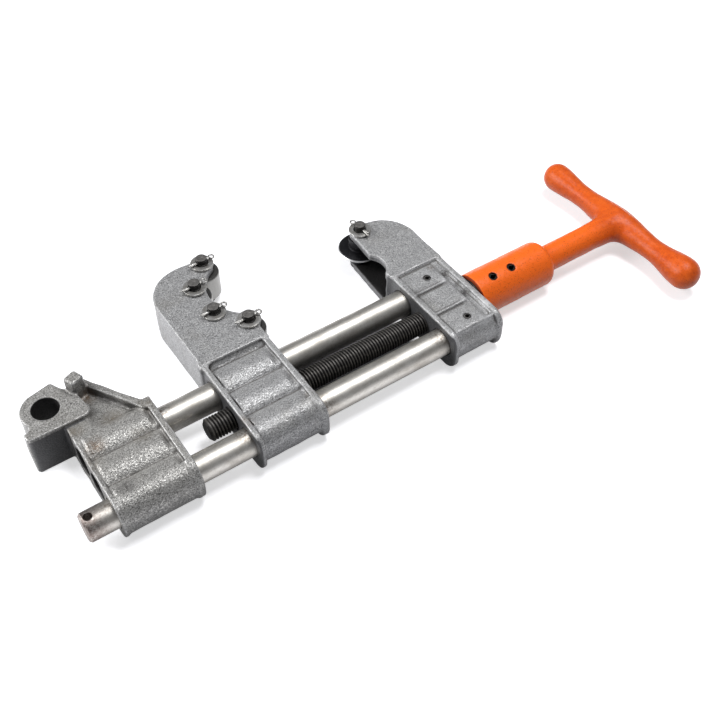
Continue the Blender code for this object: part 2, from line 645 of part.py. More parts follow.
def thrust_washer(paint):
    profile = [(SHANK_RADIUS + RUNNING_GAP, 0.0), (THRUST_WASHER_RADIUS, 0.0),
               (THRUST_WASHER_RADIUS, THRUST_WASHER_THICKNESS),
               (SHANK_RADIUS + RUNNING_GAP, THRUST_WASHER_THICKNESS), (SHANK_RADIUS + RUNNING_GAP, 0.0)]
    location = place(FRAME_RIGHT + FACE_GAP, 0.0, AXIS_HEIGHT)
    return solid("thrust_washer", turned(profile, "X", ROUND_SEGMENTS), location, paint)


def roller(name, x, y, paint):
    inner = PIN_RADIUS + RUNNING_GAP
    half = ROLLER_LENGTH / 2
    profile = [(inner, -half), (ROLLER_RADIUS - ROLLER_CHAMFER, -half), (ROLLER_RADIUS, ROLLER_CHAMFER - half)]
    profile += [(ROLLER_RADIUS, half - ROLLER_CHAMFER), (ROLLER_RADIUS - ROLLER_CHAMFER, half)]
    profile += [(inner, half), (inner, -half)]
    return solid(name, turned(profile, "Z", ROUND_SEGMENTS), place(x, y, JAW_MIDDLE), paint)


def cutter_wheel(paint):
    inner = PIN_RADIUS + RUNNING_GAP
    half = ROLLER_LENGTH / 2
    side = [(inner, half), (WHEEL_HUB_RADIUS, half), (WHEEL_HUB_RADIUS, WHEEL_ROOT_HALF)]
    side += [(WHEEL_BEVEL_START, WHEEL_SHOULDER_HALF)]
    profile = side + [(WHEEL_RADIUS, 0.0)]
    profile += [(radius, -along) for radius, along in reversed(side)]
    profile.append((inner, half))
    mesh = turned(profile, "Z", ROUND_SEGMENTS)
    return solid("cutter_wheel", mesh, place(WHEEL_X, JAW_LINE_Y, JAW_MIDDLE), paint)


def headed_pin(name, x, y, turn, paint):
    """Pin with its head below, pushed up through both cheeks and cross-drilled."""
    low = FACE_GAP
    profile = [(0.0, low), (PIN_HEAD_RADIUS - 0.5 * MM, low), (PIN_HEAD_RADIUS, low + 0.5 * MM)]
    profile += [(PIN_HEAD_RADIUS, PIN_HEAD_HEIGHT), (PIN_RADIUS, PIN_HEAD_HEIGHT)]
    profile += [(PIN_RADIUS, PIN_TOP - PIN_CHAMFER), (PIN_RADIUS - PIN_CHAMFER, PIN_TOP), (0.0, PIN_TOP)]
    pin = solid(name, turned(profile, "Z", SMALL_SEGMENTS), place(x, y), paint)
    hole = cylinder(SPLIT_HOLE_RADIUS, -2 * PIN_RADIUS, 2 * PIN_RADIUS, "X", 12)
    hole.transform(Matrix.Rotation(turn, 4, "Z"))
    subtract(pin, solid("bore", hole, place(x, y, SPLIT_HEIGHT)))
    return pin


def pin_washer(name, x, y, paint):
    inner = PIN_RADIUS + RUNNING_GAP
    profile = [(inner, 0.0), (WASHER_RADIUS, 0.0), (WASHER_RADIUS, WASHER_THICKNESS)]
    profile += [(inner, WASHER_THICKNESS), (inner, 0.0)]
    return solid(name, turned(profile, "Z", SMALL_SEGMENTS), place(x, y, CASTING_TOP + FACE_GAP), paint)


def split_pin_path():
    """Wire route: along one leg, round the eye, back along the other leg."""
    half = SPLIT_LEG_SPACING / 2
    opening = math.degrees(math.asin(half / SPLIT_EYE_RADIUS))
    neck = SPLIT_EYE_REACH - SPLIT_EYE_RADIUS * math.cos(math.radians(opening))
    path = [(-SPLIT_LEG_REACH, half), (neck - SPLIT_EYE_RADIUS, half)]
    path += arc(SPLIT_EYE_REACH, 0.0, SPLIT_EYE_RADIUS, 180.0 - opening, opening - 180.0, WIRE_STEPS)
    path += [(neck - SPLIT_EYE_RADIUS, -half), (SPLIT_EYE_RADIUS - SPLIT_LEG_REACH, -half)]
    return path


def split_pin(name, x, y, turn, paint):
    curve = bpy.data.curves.new(name, "CURVE")
    curve.dimensions = "3D"
    curve.bevel_depth = SPLIT_WIRE_RADIUS
    curve.bevel_resolution = 1
    curve.use_fill_caps = True
    line = curve.splines.new("POLY")
    path = split_pin_path()
    line.points.add(len(path) - 1)
    for point, (u, v) in zip(line.points, path):
        point.co = (u, v, 0.0, 1.0)
    curve.materials.append(paint)
    item = bpy.data.objects.new(name, curve)
    item.location = place(x, y, SPLIT_HEIGHT)
    item.rotation_euler = (0.0, 0.0, turn)
    bpy.context.scene.collection.objects.link(item)
    return item


def rod_roll_pins(paint):
    for name, y in (("front_rod_roll_pin", -HALF_SPACING), ("rear_rod_roll_pin", HALF_SPACING)):
        mesh = slotted_tube(ROLL_PIN_RADIUS, CASTING_TOP - ROD_PIN_DEPTH, CASTING_TOP - ROD_PIN_RECESS)
        solid(name, mesh, place(FRAME_MIDDLE, y), paint)


def handle_roll_pins(paint):
    reach = COLLAR_RADIUS - HANDLE_PIN_RECESS
    for name, station in zip(("inner_handle_pin", "outer_handle_pin"), HANDLE_PIN_STATIONS):
        mesh = slotted_tube(HANDLE_PIN_RADIUS, -reach, reach)
        pin = solid(name, mesh, place(COLLAR_LEFT + station, 0.0, AXIS_HEIGHT), paint)
        pin.rotation_euler = (HANDLE_PIN_TILT, 0.0, 0.0)


def build():
    clear_scene()
    cast = material("cast_grey", (0.42, 0.43, 0.45), 0.55, 0.6)
    steel = material("rod_steel", (0.62, 0.61, 0.58), 0.28, 1.0)
    black = material("black_steel", (0.03, 0.03, 0.032), 0.45, 0.8)
    zinc = material("zinc_plate", (0.72, 0.73, 0.75), 0.3, 1.0)
    tool_steel = material("tool_steel", (0.3, 0.3, 0.31), 0.35, 1.0)
    orange = material("orange_paint", (0.86, 0.14, 0.015), 0.35, 0.0)

    hinge_bracket(cast)
    roller_carriage(cast)
    wheel_frame(cast)
    front_guide_rod(steel)
    guide_rod("rear_guide_rod", -REAR_ROD_SEAT, HALF_SPACING, steel)
    rod_roll_pins(black)
    feed_screw(black)
    thrust_washer(black)
    t_handle(orange)
    handle_roll_pins(black)

    for letter in ROLLER_ANGLES:
        x, y = roller_centre(letter)
        turn = math.radians(4.0)
        roller("roller_" + letter, x, y, tool_steel)
        headed_pin("roller_pin_" + letter, x, y, turn, black)
        pin_washer("roller_washer_" + letter, x, y, zinc)
        split_pin("roller_split_pin_" + letter, x, y, turn, zinc)
    turn = math.radians(96.0)
    cutter_wheel(tool_steel)
    headed_pin("wheel_pin", WHEEL_X, JAW_LINE_Y, turn, black)
    pin_washer("wheel_washer", WHEEL_X, JAW_LINE_Y, zinc)
    split_pin("wheel_split_pin", WHEEL_X, JAW_LINE_Y, turn, zinc)


build()
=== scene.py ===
# %% [markdown]
# # A hinged pipe cutter, dressed for its portrait
#
# The real tool is three castings that ride on two ground rods, a black feed screw with an orange T-handle,
# four rollers and a cutting wheel.  The CAD model already fixes every size and every joint, so this script
# only loads it as a frame and hangs finer pieces on its bodies.  Lengths are written in millimetres and in
# the tool's own coordinates (X along the rods, Y towards the jaws, Z up), and one helper turns them into
# Blender's metres.

# %% Load the frame
import json
import math

import bmesh
import bpy
import numpy as np
from mathutils import Matrix, Vector

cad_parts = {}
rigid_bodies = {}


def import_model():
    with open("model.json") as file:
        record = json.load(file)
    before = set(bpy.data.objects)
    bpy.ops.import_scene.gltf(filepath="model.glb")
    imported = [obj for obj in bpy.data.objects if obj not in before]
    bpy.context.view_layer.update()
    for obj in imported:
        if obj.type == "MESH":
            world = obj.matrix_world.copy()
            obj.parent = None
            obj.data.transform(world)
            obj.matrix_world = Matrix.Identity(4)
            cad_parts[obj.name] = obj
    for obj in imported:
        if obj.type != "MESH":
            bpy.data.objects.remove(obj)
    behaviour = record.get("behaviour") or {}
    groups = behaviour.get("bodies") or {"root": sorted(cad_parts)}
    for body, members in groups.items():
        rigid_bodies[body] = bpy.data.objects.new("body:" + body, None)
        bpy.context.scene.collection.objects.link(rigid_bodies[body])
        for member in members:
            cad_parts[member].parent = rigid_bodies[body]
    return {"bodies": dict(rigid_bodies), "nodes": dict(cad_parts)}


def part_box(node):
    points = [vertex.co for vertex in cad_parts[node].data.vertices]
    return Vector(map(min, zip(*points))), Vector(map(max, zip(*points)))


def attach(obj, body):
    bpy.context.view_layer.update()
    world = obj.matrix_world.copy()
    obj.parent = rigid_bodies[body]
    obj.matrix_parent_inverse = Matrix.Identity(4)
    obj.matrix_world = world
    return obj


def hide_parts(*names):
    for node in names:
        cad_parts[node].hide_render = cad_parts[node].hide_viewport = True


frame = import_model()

kept = set(frame["nodes"].values()) | set(frame["bodies"].values())
for spare in [item for item in bpy.data.objects if item not in kept]:
    bpy.data.objects.remove(spare, do_unlink=True)
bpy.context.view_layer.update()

# %% [markdown]
# ## From the tool's millimetres to the frame's metres
#
# The front rod is the ruler.  Its left end stands at x = -84 and its axis at y = -26 in the tool's own
# coordinates, so the box that the frame gives for it tells where the tool's origin lies.

# %% Where the tool's origin lies in the frame
MIDDLE = 19.0          # half the height of every casting
AXIS = 20.0            # height of the rods and the screw
SPACING = 26.0         # from the screw to each rod
ROD_LEFT = -84.0       # left end of the front rod
SHANK_BORE = 7.8       # radius of the passages for the screw's plain shank
rod_low, rod_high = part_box("front_guide_rod")
ORIGIN = np.array([ROD_LEFT - 1000.0 * rod_low.x, -SPACING - 500.0 * (rod_low.y + rod_high.y), 0.0])
print("tool origin in millimetres", ORIGIN.round(3))


def metres(points):
    """Frame position of tool points: take the origin away and divide by a thousand."""
    return (np.asarray(points, float) - ORIGIN) / 1000.0


def at(value, axis=0):
    """The same for one number along X (axis 0) or Y (axis 1)."""
    return (value - ORIGIN[axis]) / 1000.0


# %% [markdown]
# ## Putting numpy points into a mesh
#
# `foreach_set` copies whole arrays into Blender at once, which is hundreds of times quicker than adding
# vertices one by one.  Each piece then gets its material, the body that it moves with, and the CAD node that
# it stands for.  Numbers that belong to single points, such as how worn an edge is, go in as attributes, and
# the materials read them later.

# %% One helper that makes every piece
FINISHES = {}


def make_piece(name, points, faces, finish, body, stands_for, marks=None):
    """Mesh from an array of points and an array of four-cornered faces, riding on a body."""
    mesh = bpy.data.meshes.new(name)
    faces = np.asarray(faces)
    mesh.vertices.add(len(points))
    mesh.vertices.foreach_set("co", metres(points).astype(np.float32).ravel())
    mesh.loops.add(faces.size)
    mesh.loops.foreach_set("vertex_index", faces.astype(np.int32).ravel())
    mesh.polygons.add(len(faces))
    mesh.polygons.foreach_set("loop_start", np.arange(0, faces.size, 4, dtype=np.int32))
    mesh.update(calc_edges=True)
    for mark, values in (marks or {}).items():
        mesh.attributes.new(mark, "FLOAT", "POINT").data.foreach_set("value", values.astype(np.float32))
    mesh.shade_smooth()
    mesh.materials.append(FINISHES[finish][0])
    item = bpy.data.objects.new(name, mesh)
    bpy.context.scene.collection.objects.link(item)
    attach(item, body)
    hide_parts(*stands_for)
    print(name, "on", body, len(mesh.vertices), "points")
    return item


# %% [markdown]
# ## Shader maths as Python expressions
#
# A material in Blender is a graph of nodes.  This class wraps one output socket, so `1 - mask * 0.5` adds the
# Math nodes by itself, and `node` adds any other node: first its settings, then its sockets.  Adding each node
# and each link by hand would work too, but one line of a finish would grow to ten.

# %% The socket wrapper
class Wire:
    """One output socket of a material."""

    def __init__(self, tree, socket):
        self.tree, self.socket = tree, socket

    def node(self, kind, settings=None, sockets=None, out=0):
        """Add a node, set it up, fill its sockets with wires or values, and return one of its outputs."""
        made = self.tree.nodes.new(kind)
        for key, value in (settings or {}).items():
            setattr(made, key, value)
        for key, value in (sockets or {}).items():
            if isinstance(value, Wire):
                self.tree.links.new(value.socket, made.inputs[key])
            elif made.inputs[key].type == "RGBA":
                made.inputs[key].default_value = (*value, 1.0)
            else:
                made.inputs[key].default_value = value
        return Wire(self.tree, made.outputs[out])

    def maths(self, operation, *values):
        """One Math node with wires or numbers as its values."""
        return self.node("ShaderNodeMath", {"operation": operation}, dict(enumerate(values)))

    def __add__(self, other): return self.maths("ADD", self, other)
    def __radd__(self, other): return self.maths("ADD", other, self)
    def __sub__(self, other): return self.maths("SUBTRACT", self, other)
    def __rsub__(self, other): return self.maths("SUBTRACT", other, self)
    def __mul__(self, other): return self.maths("MULTIPLY", self, other)
    def __rmul__(self, other): return self.maths("MULTIPLY", other, self)
    def __abs__(self): return self.maths("ABSOLUTE", self)

    def span(self, low, high):
        """0 at low and below, 1 at high and above, eased in between."""
        return self.node("ShaderNodeMapRange", {"interpolation_type": "SMOOTHSTEP"},
                         {"Value": self, "From Min": low, "From Max": high})

    def mix(self, first, second):
        """Colour first where this wire is 0, second where it is 1."""
        return self.node("ShaderNodeMix", {"data_type": "RGBA"}, {0: self, 6: first, 7: second}, out=2)


print("a wire can", [name for name in vars(Wire) if name[0] != "_"], "and + - * abs")


# %% Noise, marks and places
def noise(place, size, detail=2.0, rough=0.55):
    """Soft random values about 0.5 with features of the given size in millimetres."""
    return place.node("ShaderNodeTexNoise", None,
                      {"Vector": place, "Scale": 1000.0 / size, "Detail": detail, "Roughness": rough})


def stretched(place, scale):
    """The place squeezed or stretched along X, Y and Z."""
    return place.node("ShaderNodeMapping", None, {"Vector": place, "Scale": scale})


def mark(place, name):
    """A number that was stored on the mesh's points."""
    return place.node("ShaderNodeAttribute", {"attribute_name": name}, out=2)


def near(place, spot, reach):
    """1 at a spot given in tool millimetres, falling to 0 at its reach."""
    gap = place.node("ShaderNodeVectorMath", {"operation": "DISTANCE"},
                     {0: place, 1: tuple(metres(spot))}, out=1)
    return 1.0 - gap.span(0.0, reach / 1000.0)


def apart(place):
    """The three coordinates as single wires."""
    made = place.node("ShaderNodeSeparateXYZ", None, {0: place})
    outputs = made.socket.node.outputs
    return [Wire(place.tree, outputs[number]) for number in range(3)]


print("the tool's origin in object coordinates", tuple(metres((0.0, 0.0, 0.0)).round(4)))


# %% Start and end of every finish
def start_finish(name):
    """New material, its Principled shader and a wire that carries object coordinates."""
    paint = bpy.data.materials.new(name)
    paint.use_nodes = True
    shader = paint.node_tree.nodes["Principled BSDF"]
    source = paint.node_tree.nodes.new("ShaderNodeTexCoord")
    print("finish", name)
    return paint, shader, Wire(paint.node_tree, source.outputs["Object"])


def connect(shader, colour, roughness, height=None, strength=0.5, depth=0.2, metal=None, **fixed):
    """Feed the shader: varying colour, roughness, bump and metal, and fixed values on its own sockets."""
    tree = colour.tree
    tree.links.new(colour.socket, shader.inputs["Base Color"])
    tree.links.new(roughness.socket, shader.inputs["Roughness"])
    if height is not None:
        bump = height.node("ShaderNodeBump", None,
                           {"Strength": strength, "Distance": depth / 1000.0, "Height": height})
        tree.links.new(bump.socket, shader.inputs["Normal"])
    if metal is not None:
        tree.links.new(metal.socket, shader.inputs["Metallic"])
    for key, value in fixed.items():
        shader.inputs[key.replace("_", " ")].default_value = value


# %% [markdown]
# ## The castings' skin
#
# A steel casting comes out of its sand mould grey and grainy, and tumbling leaves small bright flecks on
# whatever stands proud.  Noises of three sizes make it: grain, specks and pits of about a millimetre, lumps of
# a few millimetres, and clouds for handling and oil.  The points also carry how convex, how hollow and how
# hidden they are: edges are rubbed bright, hollow corners get dirt and painted shade, hidden places get
# painted shade, and bores are painted near black as shade.  Walls listed for each casting are painted dark as
# shade and lose their shine, and the bracket is the roughest of the three castings.  An image could show all
# this too, but it would need unwrapping and would have seams.  Noise in object coordinates runs over every edge.

# %% Casting finish
def casting_finish(name, tint, grit, stains_and_painted_light, painted_shade_walls):
    """Grey as-cast skin, coarser with more grit, all places in tool millimetres.

    Stains and painted light are (spot, reach, strength, colour): most are stains, and some spots are painted
    shadow and some painted highlight.  Painted shade walls are (right end, front, back, strength): below the top
    edge, what lies left of the right end and between front and back is painted dark as shade, with less shine.
    """
    paint, shader, place = start_finish(name)
    x, y, z = apart(place)
    grain = noise(place, 1.25, 3.0, 0.6)
    speck = noise(place, 0.85, 1.0, 0.5)
    pits = noise(place, 1.3, 3.0, 0.7)
    lumps = noise(place, 5.0, 3.0, 0.6)
    cloud = noise(place, 26.0, 4.0, 0.6)
    edge, hollow, hidden, bored = (mark(place, name) for name in ("edge", "hollow", "hidden", "bored"))

    dark = tuple(0.205 / grit * part for part in tint)
    light = tuple(0.43 * part for part in tint)
    colour = (grain * 0.45 + speck * 0.55).span(0.40, 0.60).mix(dark, light)
    colour = (lumps.span(0.35, 0.75) * 0.3).mix(colour, tuple(0.40 * part for part in tint))
    colour = (cloud.span(0.45, 0.75) * 0.4).mix(colour, (0.235, 0.225, 0.205))
    colour = (pits.span(0.43, 0.36) * 0.75 * grit).mix(colour, (0.058, 0.055, 0.052))
    colour = (speck.span(0.63, 0.71) * 0.5).mix(colour, (0.70, 0.70, 0.69))
    # Concave corners and creases darken: dirt, and painted shade where shade would fall in them.
    colour = (hollow.span(0.18, 0.75) * 0.75).mix(colour, (0.062, 0.056, 0.05))
    # Painted shade: places that nearby metal hides from the lamps are coloured near black.
    colour = (hidden.span(0.35, 0.98) * 0.8).mix(colour, (0.035, 0.033, 0.032))
    colour = (edge.span(0.25, 0.95) * (speck * 1.1 - 0.16)).mix(colour, (0.53, 0.53, 0.53))
    # Each patch lays its colour on a noisy spot: stains, and on the frame also painted shadow and painted highlight.
    for spot, reach, strength, spot_colour in stains_and_painted_light:
        patch = near(place, spot, reach) * noise(place, 3.0, 4.0, 0.7).span(0.30, 0.60) * strength
        colour = patch.mix(colour, spot_colour)
    shine = 1.0 - bored
    # Painted shade: below the top edge these walls are coloured dark and lose their shine.
    for right, front, back, strength in painted_shade_walls:
        wall = 1.0 - x.span(at(right - 0.4), at(right + 0.4))
        wall = wall * y.span(at(front - 0.4, 1), at(front + 0.4, 1))
        wall = wall * (1.0 - y.span(at(back - 0.4, 1), at(back + 0.4, 1))) * (1.0 - z.span(0.0347, 0.0360))
        colour = (wall * (strength + grain * 0.4)).mix(colour, (0.055, 0.056, 0.06))
        shine = shine * (1.0 - wall * 0.8)
    parting = (1.0 - abs(z - MIDDLE / 1000.0).span(0.0001, 0.0005)) * noise(place, 7.0).span(0.4, 0.6)
    colour = (parting * 0.5).mix(colour, (0.05, 0.05, 0.055))
    # Painted shade: bores and rooms are coloured near black, rougher and without shine.
    colour = bored.mix(colour, (0.012, 0.011, 0.011))

    roughness = 0.25 + grain * 0.13 + hollow * 0.2 + bored * 0.3
    height = grain * 1.2 + pits * 0.6 + lumps * 1.4
    metal = (0.12 + grain.span(0.50, 0.64) * 0.47 * grit) * shine
    connect(shader, colour, roughness, height, strength=0.58, depth=0.42, metal=metal)
    return paint


# %% The three castings' finishes
# The soot colour is dark soot in some spots and painted shadow in others; the rubbed colour is rubbed metal that also
# stands in for a painted highlight where edges catch the light.
RUST, SOOT_AND_SHADE, GREASE, RUBBED_AND_HIGHLIGHT = (0.135, 0.095, 0.065), (0.06, 0.057, 0.055), (0.15, 0.128, 0.098), (0.60, 0.60, 0.61)
WARM, NEUTRAL = (1.02, 1.0, 0.96), (1.0, 1.0, 1.01)
BRACKET_STAINS = [
    ((-51.0, 21.0, 36.0), 11.0, 0.95, RUST), ((-20.0, 12.0, 34.0), 12.0, 0.5, GREASE),
    ((-36.0, 70.0, 30.0), 11.0, 0.9, RUST), ((-30.0, 40.0, 31.0), 13.0, 0.8, GREASE),
    ((-58.0, 42.0, 34.0), 12.0, 0.7, GREASE), ((-48.0, -22.0, 36.0), 11.0, 0.85, SOOT_AND_SHADE),
    ((-3.0, 34.0, 38.0), 12.0, 0.6, GREASE), ((-60.0, 10.0, 36.0), 14.0, 0.55, GREASE),
    ((-24.0, 60.0, 31.0), 13.0, 0.6, SOOT_AND_SHADE)]
CARRIAGE_STAINS = [((102.0, -24.0, 30.0), 12.0, 0.5, GREASE), ((46.0, -20.0, 36.0), 10.0, 0.5, RUST)]
FRAME_STAINS_AND_PAINTED_LIGHT = [
    # In the trench by the far flange the soot spots are painted shadow; the rubbed spots on the flanges' and pads'
    # edges are partly painted highlight.
    ((222.0, 14.0, 34.0), 14.0, 0.6, SOOT_AND_SHADE), ((259.5, 23.0, 34.0), 6.5, 1.6, SOOT_AND_SHADE),
    ((260.0, -3.0, 34.0), 6.5, 1.6, SOOT_AND_SHADE), ((261.0, 8.0, 34.0), 4.5, 1.0, SOOT_AND_SHADE),
    ((254.0, 34.0, 36.0), 6.0, 0.5, RUST), ((265.5, -22.0, 37.5), 10.0, 1.0, RUBBED_AND_HIGHLIGHT),
    ((221.0, -41.0, 36.0), 9.0, 0.9, RUBBED_AND_HIGHLIGHT), ((254.0, -36.0, 35.0), 9.0, 0.5, RUBBED_AND_HIGHLIGHT),
    ((253.0, 15.5, 36.5), 5.0, 0.9, RUBBED_AND_HIGHLIGHT), ((253.0, -10.5, 36.5), 5.0, 0.9, RUBBED_AND_HIGHLIGHT)]
for name, tint, grit, stains_and_painted_light, painted_shade_walls in (
        ("bracket casting", WARM, 1.3, BRACKET_STAINS, [(-47.0, 47.1, 49.5, 0.68)]),
        ("carriage casting", NEUTRAL, 1.1, CARRIAGE_STAINS, [(45.8, -60.0, 48.0, 0.72)]),
        ("frame casting", NEUTRAL, 0.95, FRAME_STAINS_AND_PAINTED_LIGHT, [(220.3, -60.0, 46.0, 0.72), (232.0, 46.0, 130.0, 0.55)])):
    FINISHES[name] = (casting_finish(name, tint, grit, stains_and_painted_light, painted_shade_walls), "cast_grey")

# %% [markdown]
# ## Ground rods, black screw, plated and hardened steel, orange enamel
#
# The rods are ground round, so their scratches run round them: the noise is squeezed along X.  Oil and rust
# freckles gather beside the castings, and the free end is brown and worn.  The screw and the pins are
# blackened, and rubbing brings the grey back on their crests.  The enamel has a soft gloss and lies on a rough
# casting, so its bump has two sizes.  Its colour is painted brighter on the collar and the stem than on the bar
# as painted light, and it has chips and a thin band of painted shade at the collar's rim.  Wear could be
# painted by hand, but places and marks on the mesh keep it adjustable.

# %% Ground steel
def rod_finish():
    """Ground bar: fine rings across, soft brown freckles, a slight oily film."""
    paint, shader, place = start_finish("ground rod")
    x = apart(place)[0]
    rings = noise(stretched(place, (1.0, 0.06, 0.06)), 0.30, 2.0)
    film = noise(stretched(place, (0.45, 1.0, 1.0)), 7.0, 4.0, 0.65)
    smear = noise(place, 2.2, 4.0, 0.7)
    freckle = noise(place, 1.0, 3.0, 0.7)
    colour = film.span(0.3, 0.75).mix((0.66, 0.64, 0.60), (0.44, 0.415, 0.375))
    colour = (smear.span(0.5, 0.75) * 0.4).mix(colour, (0.40, 0.37, 0.33))
    colour = (rings.span(0.55, 0.75) * 0.3).mix(colour, (0.86, 0.85, 0.83))
    colour = (freckle.span(0.66, 0.73) * 0.85).mix(colour, (0.09, 0.05, 0.028))
    worn_end = 1.0 - x.span(at(ROD_LEFT), at(-60.0))
    colour = (worn_end * smear.span(0.25, 0.6) * 0.92).mix(colour, (0.24, 0.19, 0.175))
    colour = (worn_end * freckle.span(0.52, 0.62) * 0.7).mix(colour, (0.085, 0.06, 0.05))
    for spot, reach in (((-65.0, -26.0, 31.0), 7.0), ((104.0, -34.0, 28.0), 14.0), ((216.0, -28.0, 31.0), 14.0),
                        ((2.0, 26.0, 31.0), 12.0), ((42.0, -26.0, 31.0), 12.0)):
        colour = (near(place, spot, reach) * smear.span(0.38, 0.62) * 0.8).mix(colour, (0.13, 0.095, 0.07))
    roughness = 0.33 + film * 0.14 + smear * 0.12
    connect(shader, colour, roughness, rings * 0.6 + smear * 0.5, strength=0.16, depth=0.06, Metallic=1.0)
    return paint


FINISHES["ground rod"] = (rod_finish(), "rod_steel")


# %% Black, plated and hardened steel
def black_finish(name, grey):
    """Black oxide that is rubbed grey where the mark called proud is high."""
    paint, shader, place = start_finish(name)
    film = noise(place, 2.4, 4.0, 0.65)
    grain = noise(place, 0.6, 2.0)
    proud = mark(place, "proud")
    colour = film.span(0.3, 0.7).mix((0.012, 0.012, 0.013), (0.040, 0.037, 0.034))
    colour = (proud.span(0.5, 1.0) * (film * 1.1 + grain * 0.5 - 0.1)).mix(colour, grey)
    roughness = 0.38 + film * 0.24
    connect(shader, colour, roughness, grain * 0.6 + film, strength=0.25, depth=0.08, Metallic=0.75)
    return paint


def plate_finish():
    """Zinc plate with a faint warm passivation, dulled in patches."""
    paint, shader, place = start_finish("zinc plate")
    film = noise(place, 3.0, 3.0, 0.6)
    grain = noise(place, 0.5, 2.0)
    colour = film.span(0.3, 0.7).mix((0.52, 0.515, 0.505), (0.29, 0.28, 0.26))
    colour = (grain.span(0.6, 0.72) * 0.5).mix(colour, (0.16, 0.14, 0.12))
    connect(shader, colour, 0.28 + film * 0.22, grain, strength=0.18, depth=0.05, Metallic=0.82)
    return paint


def hardened_finish(name, body_colour, bright_colour):
    """Hardened steel: dull body, bright where the mark called proud is high, scuffed."""
    paint, shader, place = start_finish(name)
    scuff = noise(place, 1.6, 4.0, 0.7)
    film = noise(place, 7.0, 3.0)
    proud = mark(place, "proud")
    colour = film.span(0.3, 0.7).mix(body_colour, tuple(0.62 * part for part in body_colour))
    colour = (proud.span(0.2, 0.8) * (0.6 + scuff * 0.6)).mix(colour, bright_colour)
    colour = (scuff.span(0.58, 0.70) * 0.4).mix(colour, (0.13, 0.12, 0.11))
    roughness = 0.42 - proud * 0.14 + scuff * 0.12
    connect(shader, colour, roughness, scuff, strength=0.15, depth=0.06, Metallic=0.85)
    return paint


for paint, slot in (
        (black_finish("black screw", (0.135, 0.128, 0.12)), "black_steel"),
        (black_finish("black pin", (0.26, 0.25, 0.24)), "black_steel"), (plate_finish(), "zinc_plate"),
        (hardened_finish("roller steel", (0.10, 0.098, 0.095), (0.37, 0.365, 0.35)), "tool_steel"),
        # The wheel's ground edge is bright steel, and its near-white colour is also a painted highlight.
        (hardened_finish("wheel steel", (0.022, 0.022, 0.025), (0.90, 0.90, 0.90)), "tool_steel")):
    FINISHES[paint.name] = (paint, slot)


# %% Orange enamel
def enamel_finish():
    """Thick orange paint over a rough casting, with dark pits, painted light on the collar and the stem, and chips
    and a band of painted shade by the collar's rim.
    """
    paint, shader, place = start_finish("orange enamel")
    x = apart(place)[0]
    orange_peel = noise(place, 1.15, 3.0, 0.65)
    casting = noise(place, 4.2, 3.0, 0.55)
    cloud = noise(place, 30.0, 3.0)
    pit = noise(place, 1.0, 2.0, 0.8)
    colour = casting.span(0.25, 0.75).mix((0.60, 0.080, 0.008), (0.74, 0.118, 0.012))
    colour = (cloud.span(0.4, 0.8) * 0.4).mix(colour, (0.78, 0.140, 0.016))
    # Painted light: the collar and the stem are coloured brighter than the bar.
    painted_collar_light = 1.0 - x.span(at(390.0), at(426.0))
    colour = (painted_collar_light * (0.75 + casting * 0.3)).mix(colour, (0.96, 0.158, 0.014))
    colour = (pit.span(0.41, 0.33) * 0.75).mix(colour, (0.26, 0.026, 0.006))
    # At the collar's rim: a few chips, and a dark band that is painted shade where the collar meets the frame.
    rim = 1.0 - x.span(at(270.2), at(271.3))
    rim_chips_and_shade = (rim * 0.62 + noise(place, 3.0, 3.0, 0.6) * 0.5).span(0.62, 0.76)
    colour = (rim_chips_and_shade * 0.8).mix(colour, (0.16, 0.022, 0.010))
    # Painted shade: the bore and the pin holes are coloured near black.
    colour = mark(place, "bored").mix(colour, (0.015, 0.012, 0.012))
    roughness = 0.24 + casting * 0.16 + rim_chips_and_shade * 0.3
    connect(shader, colour, roughness, casting * 0.8 + orange_peel * 0.6 - rim_chips_and_shade * 0.2,
            strength=0.72, depth=0.5, Metallic=0.0, Specular_IOR_Level=0.24)
    return paint


FINISHES["orange enamel"] = (enamel_finish(), "orange_paint")
print("finishes", sorted(FINISHES))

# %% [markdown]
# ## Round pieces: a profile carried round an axis
#
# Rods, rollers, washers, pins and the wheel are all turned on a lathe.  Here a lathe is one numpy expression:
# every point is (radius of the profile) times (cosine, sine of the turn), plus its place along the axis.
# Corners of a profile get a small radius first, because no real edge is perfectly sharp and the tiny curve is
# what catches the light.  Blender's Screw modifier would turn a profile as well, but arrays also say how worn
# each point is.

# %% Rounded corners
def softened(corners, steps=4):
    """Corners (u, v, radius): each becomes an arc that touches both of its sides."""
    points = []
    place = np.array([corner[:2] for corner in corners], float)
    for number, (_, _, radius) in enumerate(corners):
        here = place[number]
        to_last, to_next = place[number - 1] - here, place[(number + 1) % len(place)] - here
        if radius <= 0.0:
            points.append(here[None])
            continue
        to_last /= np.linalg.norm(to_last)
        to_next /= np.linalg.norm(to_next)
        half = math.acos(np.clip(to_last @ to_next, -1.0, 1.0)) / 2
        centre = here + (to_last + to_next) / np.linalg.norm(to_last + to_next) * radius / math.sin(half)
        first = here + to_last * radius / math.tan(half) - centre
        last = here + to_next * radius / math.tan(half) - centre
        share = np.linspace(0.0, 1.0, steps + 1)[:, None]
        spoke = first * (1 - share) + last * share
        points.append(centre + spoke / np.linalg.norm(spoke, axis=1, keepdims=True) * radius)
    return np.vstack(points)


def arc(u, v, radius, start, end, count=12):
    """Corners with no rounding along an arc, angles in degrees."""
    angle = np.radians(np.linspace(start, end, count + 1))
    return [(u + radius * math.cos(a), v + radius * math.sin(a), 0.0) for a in angle]


print("a square with rounded corners has", len(softened([(0, 0, 1), (9, 0, 1), (9, 9, 1), (0, 9, 1)])), "points")


